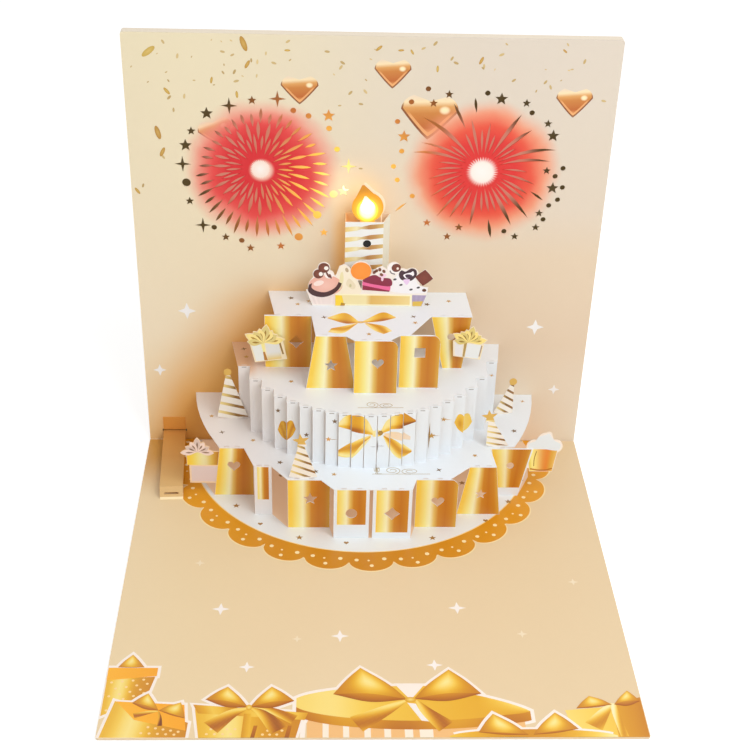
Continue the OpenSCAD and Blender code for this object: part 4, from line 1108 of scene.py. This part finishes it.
# Sweets
# One cut sheet printed with a row of sweets over a bare gold banner: a cupcake, a biscuit, a slice
# of cake and a cream cake with glaze and chocolate.
dress("sweets_panel", paper("sweets_paper", (246, 236, 226), roughness=0.42, coat=0.15))
brown, dark, cream = (104, 46, 32), (66, 30, 34), (246, 236, 228)


def blob(x, z, width, height, colour, level, turned=0.0, core=None):
    """Oval film: its middle, its width and height, its colour and the colour of its core."""
    return cutout(round_outline((x, z), width, height, 24, turned), colour, level, core)


def patch(points, colour, level, core=None):
    """Film inside a closed curve through the points."""
    p = np.asarray(points, float)
    closed = drawn(np.vstack([p[-2:], p, p[:2]]), 6 * (len(p) + 3) + 1)[12:-6]
    return cutout(closed[:-1], colour, level, core)


sweets = [
    # Cupcake
    panel_film([(-23.6, 79), (-12.4, 79), (-10.4, 85.6), (-26.1, 85.2)],
               lambda u, v: np.array([250, 232, 224]) - 14 * np.abs(np.sin(u * 22))[..., None], 0.03),
    blob(-18.4, 88.2, 14.4, 9.6, (236, 176, 158), 0.05, core=(246, 196, 180)),
    blob(-21.4, 89.2, 4.6, 2.4, (252, 228, 218), 0.07, 18),
    band(drawn([(-25.6, 88.4), (-25.9, 85.4), (-23.6, 83.2), (-19.4, 82.5), (-15.2, 84.0), (-12.4, 86.9), (-11.5, 89.2)], 24),
         drawn([(-24.2, 89.2), (-24.4, 87.0), (-22.2, 85.4), (-18.6, 84.9), (-15.3, 86.4), (-13.6, 88.2), (-12.9, 89.9)], 24),
         dark, 0.08, rows=3),
    blob(-21.5, 93.6, 4.4, 4.3, brown, 0.07, core=(132, 66, 44)), blob(-20.5, 93.6, 1.7, 1.9, (252, 244, 236), 0.09),
    blob(-19.2, 96.5, 4.8, 4.6, brown, 0.08, core=(132, 66, 44)), blob(-18.2, 96.4, 1.9, 1.8, (252, 244, 236), 0.1),
    blob(-17.1, 93.0, 3.4, 3.0, (252, 240, 234), 0.085), blob(-17.5, 93.2, 0.9, 3.2, brown, 0.1, 28),
    blob(-16.4, 92.6, 0.8, 2.4, brown, 0.1, 20),
    # Dollop of cream
    patch([(-14.0, 84.6), (-3.4, 84.6), (-5.6, 92), (-8.8, 96.6), (-10.6, 97.8), (-12.4, 96.9), (-13.8, 92)],
          (248, 236, 212), 0.04),
    patch([(-12.6, 86), (-10.8, 90.4), (-11.2, 94.6), (-12.3, 93)], (238, 226, 176), 0.06),
    patch([(-9.6, 88.6), (-6.6, 86.4), (-5.6, 88.4), (-8.4, 91.6)], (236, 222, 190), 0.06),
    blob(-9.4, 95.6, 1.4, 2.2, (190, 166, 132), 0.07, 20), blob(-7.8, 88.2, 1.0, 1.6, (206, 196, 150), 0.07),
    # Biscuit
    blob(-3.4, 95.2, 8.8, 8.3, (250, 146, 44), 0.09, core=(253, 152, 52)),
    # Slice of cake
    patch([(0.8, 92.6), (2.0, 95.6), (4.6, 97.2), (7.4, 96.2), (9.2, 93.6), (9.6, 90.6), (4, 90)], cream, 0.07),
    panel_film([(-2.6, 86.2), (9.0, 85.4), (9.3, 88.0), (-2.7, 89.8)], (142, 26, 62), 0.09),
    panel_film([(-2.7, 88.5), (9.3, 85.9), (9.5, 88.0), (-2.6, 90.6)], (238, 104, 158), 0.1),
    patch([(-2.6, 90.4), (0.4, 92.8), (2.8, 93.4), (5.2, 92.2), (9.4, 91.6), (9.6, 88.2), (3.5, 88.7)], (134, 26, 62), 0.11),
    blob(5.8, 93.3, 3.4, 1.7, (246, 206, 226), 0.12), blob(5.8, 91.8, 1.1, 2.6, (246, 206, 226), 0.125),
]
sweets += [blob(x, z, 1.3, 1.7, (120, 66, 44), 0.14, turned)
           for x, z, turned in ((2.3, 94.7, -30), (4.6, 96.0, 10), (3.2, 95.4, -40), (5.4, 93.6, 50), (6.4, 95.2, 30))]
sweets += [
    # Cream cake
    patch([(9.8, 85.6), (10.4, 90.2), (12.8, 94.4), (16.6, 95.4), (19.6, 92.6), (21.4, 89), (25.2, 87.2), (23.6, 84.8)],
          (247, 243, 244), 0.06),
    blob(10.7, 96.6, 5.5, 5.3, (250, 244, 240), 0.07), blob(11.6, 96.9, 4.0, 3.9, brown, 0.09, core=(126, 60, 40)),
    blob(12.2, 96.6, 1.0, 1.2, (250, 232, 220), 0.11),
    stroke([(8.9, 95.6), (9.6, 94.4), (11.2, 93.9)], 0.5, (120, 110, 110), 0.1, 8),
    patch([(12.8, 94.0), (13.9, 95.7), (15.7, 95.2), (18.2, 96.7), (20.2, 95.7), (20.4, 93.4), (18.4, 91.0), (15.6, 90.8),
           (13.6, 91.6)], (58, 28, 44), 0.1),
    patch([(14.7, 93.4), (16.0, 94.3), (17.9, 94.8), (18.9, 95.4), (19.3, 93.6), (17.8, 92.6), (16.0, 91.9)], (250, 244, 248), 0.12),
    patch([(15.6, 93.6), (17.2, 93.9), (18.6, 93.2), (17.4, 92.3), (16.1, 92.3)], (62, 32, 60), 0.13),
    patch([(14.8, 91.2), (17.6, 91.4), (16.4, 88.9)], (238, 206, 238), 0.11),
    cutout(starry((23.7, 92.3), 3.9, 4, 0.74, -5), (112, 44, 34), 0.1, (128, 56, 42)),
    blob(24.0, 86.3, 1.8, 1.5, (96, 50, 30), 0.1), panel_film([(19.2, 78.6), (23.2, 78.6), (25.0, 83.8), (18.6, 83.9)],
                                                            lambda u, v: np.array([182, 166, 196]) - 12 * np.abs(np.sin(u * 9))[..., None], 0.09),
    panel_film([(19.2, 78.6), (23.0, 78.6), (23.8, 81.0), (19.2, 80.8)], (226, 186, 74), 0.1),
]
sweets += [blob(x, z, 1.5, 0.9, (70, 64, 66), 0.1, 15) for x, z in ((11.2, 91.4), (13.9, 88.8), (18.3, 86.6), (21.4, 87.6))]
# Bare banner with folded ends
sweets += [
    panel_film([(-14.2, 78.6), (18.9, 78.6), (18.9, 84.0), (-14.2, 84.2)], (252, 244, 206), 0.13),
    panel_film([(-13.2, 79.2), (18.0, 79.2), (18.0, 83.4), (-13.2, 83.6)],
               lambda u, v: np.where((u < 0.42)[..., None], np.array([242, 226, 170]) + 0 * v[..., None],
                                     np.array([226, 180, 92]) + (u - 0.42)[..., None] * np.array([26, 60, 90])), 0.15),
    panel_film([(-14.2, 78.5), (-10.2, 78.5), (-11.4, 83.4), (-14.2, 83.6)], (252, 214, 52), 0.16),
    panel_film([(-12.0, 78.5), (-10.2, 78.5), (-9.9, 79.6), (-11.6, 80)], (190, 140, 30), 0.17),
]
printed("printed_sweets", sweets, standing_at(-13.0), "sweets_paper")


# Party hats
# Four small cones cut flat, white with gold stripes and a gold ball or star.
def hat_colour(foot_x0, foot_x1, tip, slope, step):
    def colour(spot):
        middle = (foot_x0 + foot_x1) / 2
        up = spot.z - 25.5
        stripe = ((up + (spot.x - middle) * slope) / step).maths("FRACT").within(0.3, 0.62)
        gilt = ((spot.x - foot_x0) / (foot_x1 - foot_x0)).ramp([(0, (244, 224, 160)), (0.3, (226, 196, 118)),
                                                               (0.62, (142, 100, 40)), (1, (150, 104, 46))])
        plain = spot.start.node("ShaderNodeMix", {"data_type": "RGBA"},
                                {0: stripe * (spot.to_y < -0.5) * (up > 0.8), 6: pigment(246, 238, 226), 7: gilt}, output=2)
        return plain.painted(pigment(222, 178, 88), up > tip[1] - 1.6)
    return colour


for name, x0, x1, tip, slope, step in (("hat_back_left", -66.3, -52.6, (-61.1, 23.9), 0.24, 4.7),
                                       ("hat_back_right", 58.2, 66.7, (65.8, 17.1), 0.6, 3.9),
                                       ("hat_front_left", -33.4, -21.6, (-28.3, 18.8), 0.4, 3.5),
                                       ("hat_front_right", 52.2, 62.0, (52.8, 15.6), 0.2, 2.9)):
    dress(name, paper("paper_of_" + name, hat_colour(x0, x1, tip, slope, step), roughness=0.45, coat=0.1))

# Gifts and cupcake at the sides
# Small cut sheets with their prints: white boxes with fans of looped gold ribbon above, and a box
# with a gold lid and a cupcake below.
for name, colour in (("gift_upper_left", (246, 228, 190)), ("gift_upper_right", (246, 230, 196)),
                     ("gift_lower_left", (244, 214, 176)), ("cupcake_lower_right", (250, 238, 224))):
    dress(name, paper("paper_of_" + name, colour, roughness=0.45, coat=0.1))
for name in ("foam_pad_left", "foam_pad_right"):
    dress(name, paper("finish_of_" + name, (236, 234, 228), roughness=0.85, cloud=0.12, fibre=0.6))


def fan(knot, count, length, first, last, tone, line, level):
    """Ribbon loops spread round a knot like the sheet's own, with a dark fold drawn in each."""
    films = []
    s = np.append(np.linspace(0, 1, 8), np.linspace(1, 0, 8)[1:-1])
    side = np.where(np.arange(14) < 8, -1, 1)
    for i in range(count):
        angle = math.radians(first + (last - first) * i / (count - 1))
        reach = length * (0.86 + 0.14 * math.cos(math.radians(120 * i)))
        along, across = np.array([math.cos(angle), math.sin(angle)]), np.array([-math.sin(angle), math.cos(angle)])
        for start, share, wide, colour, core in ((0, 0.95, 0.19, tone, None), (0.2, 0.5, 0.05, line, None)):
            out = (start + s * share)[:, None] * reach * along
            leaf = knot + out + (side * wide * length * np.sin(math.pi * s ** 1.4))[:, None] * across
            shade = 1 - 0.1 * (i % 2)
            films.append(cutout(leaf, np.array(colour) * shade, level + 0.012 * i + 0.006 * (start > 0), core))
    return films


def ruled(stops):
    """Tone that changes across a panel by even steps of colour."""
    colours = np.array(stops, float)
    at = np.linspace(0, 1, len(colours))
    return lambda u, v: np.stack([np.interp(u, at, colours[:, c]) for c in range(3)], -1) + 0 * v[..., None]


printed("printed_gift_upper_left", [
    panel_film([(-48.3, 56.7), (-44.7, 57.2), (-45.7, 65.4), (-50.1, 64.4)], (234, 236, 230), 0.02),
    panel_film([(-43.1, 57.3), (-37.2, 58.2), (-38.5, 66.4), (-44.4, 65.9)],
               lambda u, v: np.array([228, 226, 220]) + np.minimum(v - 0.35, 0)[..., None] * np.array([-20, 70, 300]), 0.02),
    panel_film([(-44.7, 57.1), (-43.2, 57.2), (-44.5, 61.4), (-45.3, 61.4)], (182, 124, 44), 0.03, 3, 3),
    panel_film([(-45.2, 61.4), (-44.3, 61.4), (-44.6, 65.9), (-46.2, 65.6)], (246, 232, 152), 0.04, 3, 3),
    panel_film([(-36.9, 60.3), (-36.2, 60.4), (-37.7, 66.2), (-38.5, 66.3)], (150, 116, 50), 0.05, 3, 3)]
    + fan((-44.8, 65.8), 8, 9.2, 12, 176, (250, 228, 146), (178, 136, 40), 0.06), standing_at(-24.0), "gift_paper")
printed("printed_gift_upper_right", [
    panel_film([(37.9, 60.5), (41.1, 60.0), (41.1, 67.0), (37.4, 67.2)], (236, 232, 230), 0.02),
    panel_film([(41.3, 59.9), (42.1, 59.8), (42.9, 66.8), (41.7, 67.0)], (178, 146, 80), 0.03, 3, 3),
    panel_film([(42.3, 59.7), (48.1, 58.9), (49.2, 65.6), (43.0, 66.5)], (234, 236, 234), 0.02),
    panel_film([(48.3, 60.0), (48.8, 59.9), (49.7, 65.4), (49.1, 65.5)], (176, 148, 120), 0.04, 3, 3)]
    + fan((43.6, 67.0), 8, 8.2, 8, 172, (250, 226, 136), (170, 132, 44), 0.06), standing_at(-24.0), "gift_paper")
printed("printed_gift_lower_left", [
    panel_film([(-76.7, 7.2), (-62.7, 7.2), (-62.7, 15.3), (-76.7, 15.3)], (226, 206, 202), 0.02),
    panel_film([(-78.3, 16.0), (-62.7, 16.0), (-62.7, 23.0), (-78.3, 23.0)],
               ruled([(252, 202, 46), (246, 216, 84), (240, 228, 150), (236, 226, 176), (222, 190, 90), (196, 132, 34), (186, 110, 16)]), 0.03)]
    + fan((-73.6, 22.8), 7, 7.6, -4, 184, (244, 218, 206), (150, 118, 96), 0.05), standing_at(-44.65), "gift_side_paper")
swirl = [(71.2, 25.6), (71.0, 28.0), (73.4, 29.2), (74.9, 31.4), (77.6, 32.6), (79.4, 33.2), (80.6, 31.4), (82.4, 29.4), (84.4, 28.2),
         (84.9, 26.4), (83.6, 24.4), (77.5, 25.2)]
printed("printed_cupcake", [
    panel_film([(72.4, 13.4), (82.3, 13.4), (83.7, 25.0), (70.1, 25.0)],
               ruled([(232, 206, 78), (255, 242, 150), (250, 226, 128), (240, 188, 104), (230, 146, 54), (232, 132, 38), (224, 168, 56),
                      (238, 192, 108)]), 0.02),
    stroke([(74.6, 24.0), (73.9, 20.0), (74.0, 16.0)], 0.4, (170, 130, 40), 0.04, 8),
    stroke([(72.5, 14.6), (76.0, 13.9), (79.6, 14.0), (82.2, 14.9)], 0.7, (190, 110, 20), 0.04, 10),
    patch(swirl, (232, 238, 241), 0.05)], standing_at(-44.15), "gift_side_paper")

# Printed frames outside
# The cover's two outer sides have a thin double frame of gold, with hearts and stars. They are
# generic, since the photograph doesn't show them.
def framed(low, high):
    """A double gold frame with a heart in its middle and stars round it, from low to high."""
    films = []
    for inset, width in ((9, 1.2), (12, 0.4)):
        a, b, c, d = inset - 100, 100 - inset, low + inset, high - inset
        for path in ([(a, c), (b, c)], [(b, c), (b, d)], [(b, d), (a, d)], [(a, d), (a, c)]):
            films.append(stroke(path, width, gold(np.array(0.5)), 0.03, 8))
    middle = (low + high) / 2
    films.append(cutout(heart_outline((0, middle), 46, 60), gold(np.array(0.42)), 0.03, gold(np.array(0.85))))
    for i in range(24):
        angle = math.radians(15 * i)
        reach = 46 if i % 2 else 36
        at = (reach * 1.3 * math.cos(angle), middle + reach * 1.3 * math.sin(angle))
        films.append(cutout(starry(at, 2.6 if i % 2 else 1.8, 5, 0.42, 11 * i), gold(np.array(0.3 + 0.2 * (i % 3))), 0.03))
    return films


def behind(p):
    """Place of films on the rear side of the standing half."""
    return np.column_stack([-p[:, 0], 5.0 + p[:, 2], p[:, 1]])


def underneath(p):
    """Place of films on the lower side of the base."""
    return np.column_stack([p[:, 0], -p[:, 1], -0.9 - 0.5 * p[:, 2]])


printed("printed_rear_frame", framed(0, 192), behind, "cover_card")
printed("printed_base_frame", framed(0, 192), underneath, "cover_card")

# Strap and guide
# A folded strip of the cover's board that works the switch, and the patch over its slot. Both are coloured amber as
# painted shade.
def strap_colour(spot):
    """Painted amber shade at the back, paler towards the front, with a light lower edge."""
    along = (spot.y * (-1 / 48)).ramp([(0.0, (210, 148, 72)), (0.45, (206, 150, 80)), (0.8, (214, 170, 106)),
                                       (1.0, (218, 180, 120))])
    return along.painted(pigment(252, 230, 184), (spot.z < 0.9) * (spot.y < -44))


dress("switch_strap", paper("strap_card", strap_colour, roughness=0.5, cloud=0.06))
# The guide's amber is painted shade too.
dress("strap_guide", paper("strap_guide_card", (222, 150, 62), roughness=0.55, cloud=0.06))


# Sound and light parts
# A board with a chip under resin, three cells in a clip, a small speaker, two lamps and leaf
# contacts, all inside the hollow back panel.
def plain_finish(name, colour, metal, roughness, size, worn=0.12, glow=None):
    return paper(name, colour, roughness=roughness, cloud=worn, fibre=0.05, metal=metal, glow=glow)


dress("circuit_board", plain_finish("board", (40, 92, 56), 0.0, 0.4, 1.0))
dress("sound_chip", plain_finish("resin", (22, 22, 24), 0.0, 0.28, 1.0))
for name in ("button_cell_1", "button_cell_2", "button_cell_3", "battery_clip"):
    dress(name, plain_finish("nickel_of_" + name, (206, 206, 204), 1.0, 0.3, 1.0))
for name in ("switch_blade_front", "switch_blade_rear", "speaker"):
    dress(name, plain_finish("brass_of_" + name, (208, 168, 86), 1.0, 0.34, 1.0))
dress("microphone", plain_finish("black_felt", (22, 20, 22), 0.0, 0.8, 1.0))
for name in ("flame_led", "panel_led"):
    dress(name, plain_finish("lamp_of_" + name, (255, 244, 200), 0.0, 0.3, 1.0,
                             glow=lambda spot: spot.noise(3, 1).ramp([(0, (255, 240, 170)), (1, (255, 252, 226))])))
dress("ribbon_wire", plain_finish("wire", (170, 48, 36), 0.0, 0.45, 1.0))
